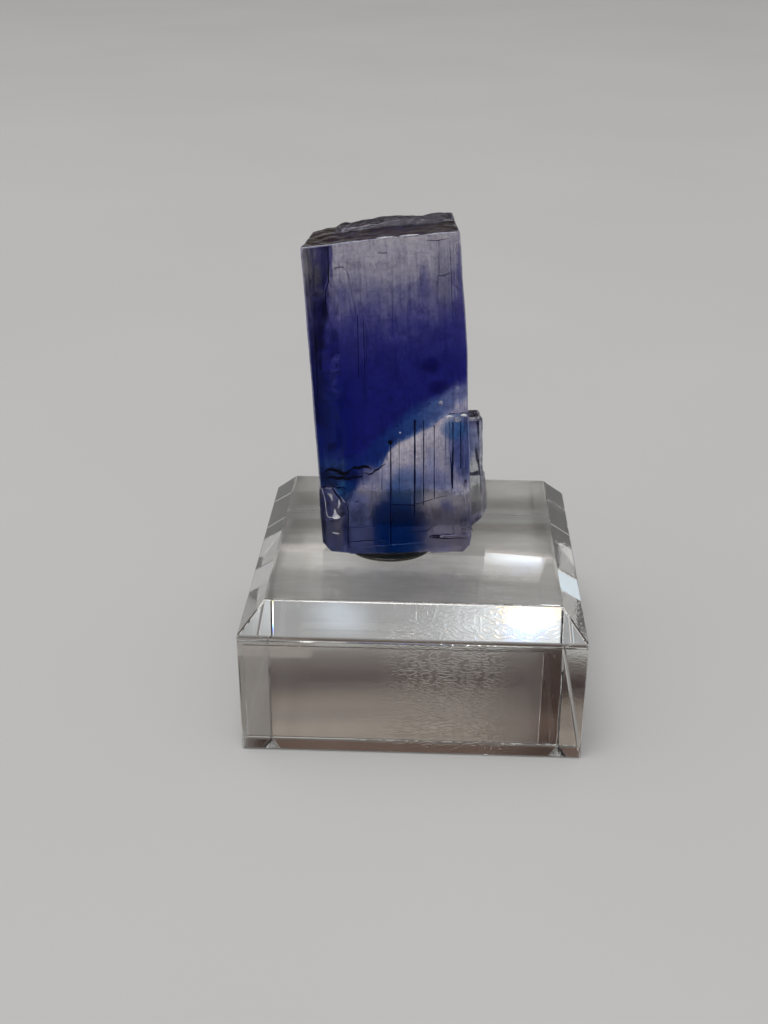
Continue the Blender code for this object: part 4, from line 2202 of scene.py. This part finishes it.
        right = (
            (0.200, (0.030, 0.012, 0.006)),
            (0.300, (0.030, 0.012, 0.006)),
            (0.511, (1.15, 1.28, 1.40)),
            (0.5155, (1.00, 1.12, 1.24)),
            (0.5180, (0.32, 0.31, 0.30)),
            (0.5215, (0.14, 0.125, 0.115)),
            (0.5260, (0.06, 0.045, 0.040)),
            (0.5320, (0.028, 0.011, 0.006)),
            (0.569, (0.025, 0.008, 0.004)),
            (0.5735, (0.085, 0.050, 0.035)),
            (0.582, (0.070, 0.035, 0.025)),
            (0.588, (0.030, 0.010, 0.004)),
            (0.605, (0.030, 0.010, 0.004)),
        )
        level = nodes.math("SUBTRACT", up, nodes.math("MULTIPLY", side, self.strip_lean))
        lift = nodes.span(up, 0.50, 0.52)
        main = nodes.blend(lift, nodes.ramp(level, left), nodes.ramp(up, left))
        brown = nodes.ramp(up, right)
        band = nodes.math("MULTIPLY", nodes.span(up, 0.504, 0.514), nodes.span(up, 0.64, 0.61))
        low = nodes.math("MULTIPLY", nodes.span(up, 0.16, 0.20), nodes.span(up, 0.32, 0.28))
        band = nodes.math("ADD", band, low)
        rightward = nodes.math("MULTIPLY", band, nodes.span(side, 0.015, 0.120))
        main = nodes.blend(rightward, main, brown)
        beyond = nodes.math("MULTIPLY", band, nodes.span(side, 0.13, 0.155))
        main = nodes.blend(beyond, main, self.far_side)
        shine = nodes.math("MULTIPLY", nodes.span(level, 0.4684, 0.4690), nodes.span(level, 0.4805, 0.4690))
        shine = nodes.math("MULTIPLY", shine, nodes.span(side, 0.028, 0.060))
        shine = nodes.math("MULTIPLY", shine, nodes.span(side, 0.094, 0.088))
        return nodes.blend(shine, main, nodes.blend(1.0, main, self.shine, "ADD"))

    def _greys(self, stops: Line) -> list[tuple[float, Colour]]:
        """Slightly warm greys for a ramp."""
        return [(place, (grey, grey * 0.985, grey * 0.96)) for place, grey in stops]

    def _lamp(self, name: str, place: Point, size: float, power: float) -> Thing:
        """Adds a square soft light aimed at the object.

        Args:
            name: The light's name.
            place: Its place, in millimetres.
            size: The length of its side, in millimetres.
            power: Its power, in watts.

        Returns:
            The light.
        """
        data = bpy.data.lights.new(name, "AREA")
        data.shape = "SQUARE"
        data.size = size * MM
        data.energy = power
        lamp = bpy.data.objects.new(name, data)
        bpy.context.scene.collection.objects.link(lamp)
        lamp.location = Vector(place) * MM
        aim = Vector((0.0, 0.0, 20.0)) - Vector(place)
        lamp.rotation_euler = aim.to_track_quat("-Z", "Y").to_euler()
        return lamp

    def _camera(self) -> None:
        """Puts the camera at its place and turn."""
        data = bpy.data.cameras.new("camera")
        data.lens = self.lens
        data.sensor_width = 36.0
        data.clip_start = 0.005
        camera = bpy.data.objects.new("camera", data)
        bpy.context.scene.collection.objects.link(camera)
        camera.matrix_world = (
            Matrix.Translation(Vector(self.camera_place) * MM)
            @ Matrix.Rotation(math.radians(self.camera_azimuth), 4, "Z")
            @ Matrix.Rotation(math.radians(90.0 - self.camera_elevation), 4, "X")
            @ Matrix.Rotation(math.radians(self.camera_roll), 4, "Z")
        )
        bpy.context.scene.camera = camera


def main() -> None:
    """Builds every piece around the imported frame."""
    logging.basicConfig(level=logging.INFO, format="%(name)s %(message)s")
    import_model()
    bpy.context.scene.view_settings.view_transform = "Standard"
    seat = Seat()
    Crystal(seat).build()
    ColourZones(seat).build()
    SealedLines(seat).build()
    Block().build()
    Label().build()
    Pad().build()
    Studio().build()
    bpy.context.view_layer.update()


if __name__ == "__main__":
    main()
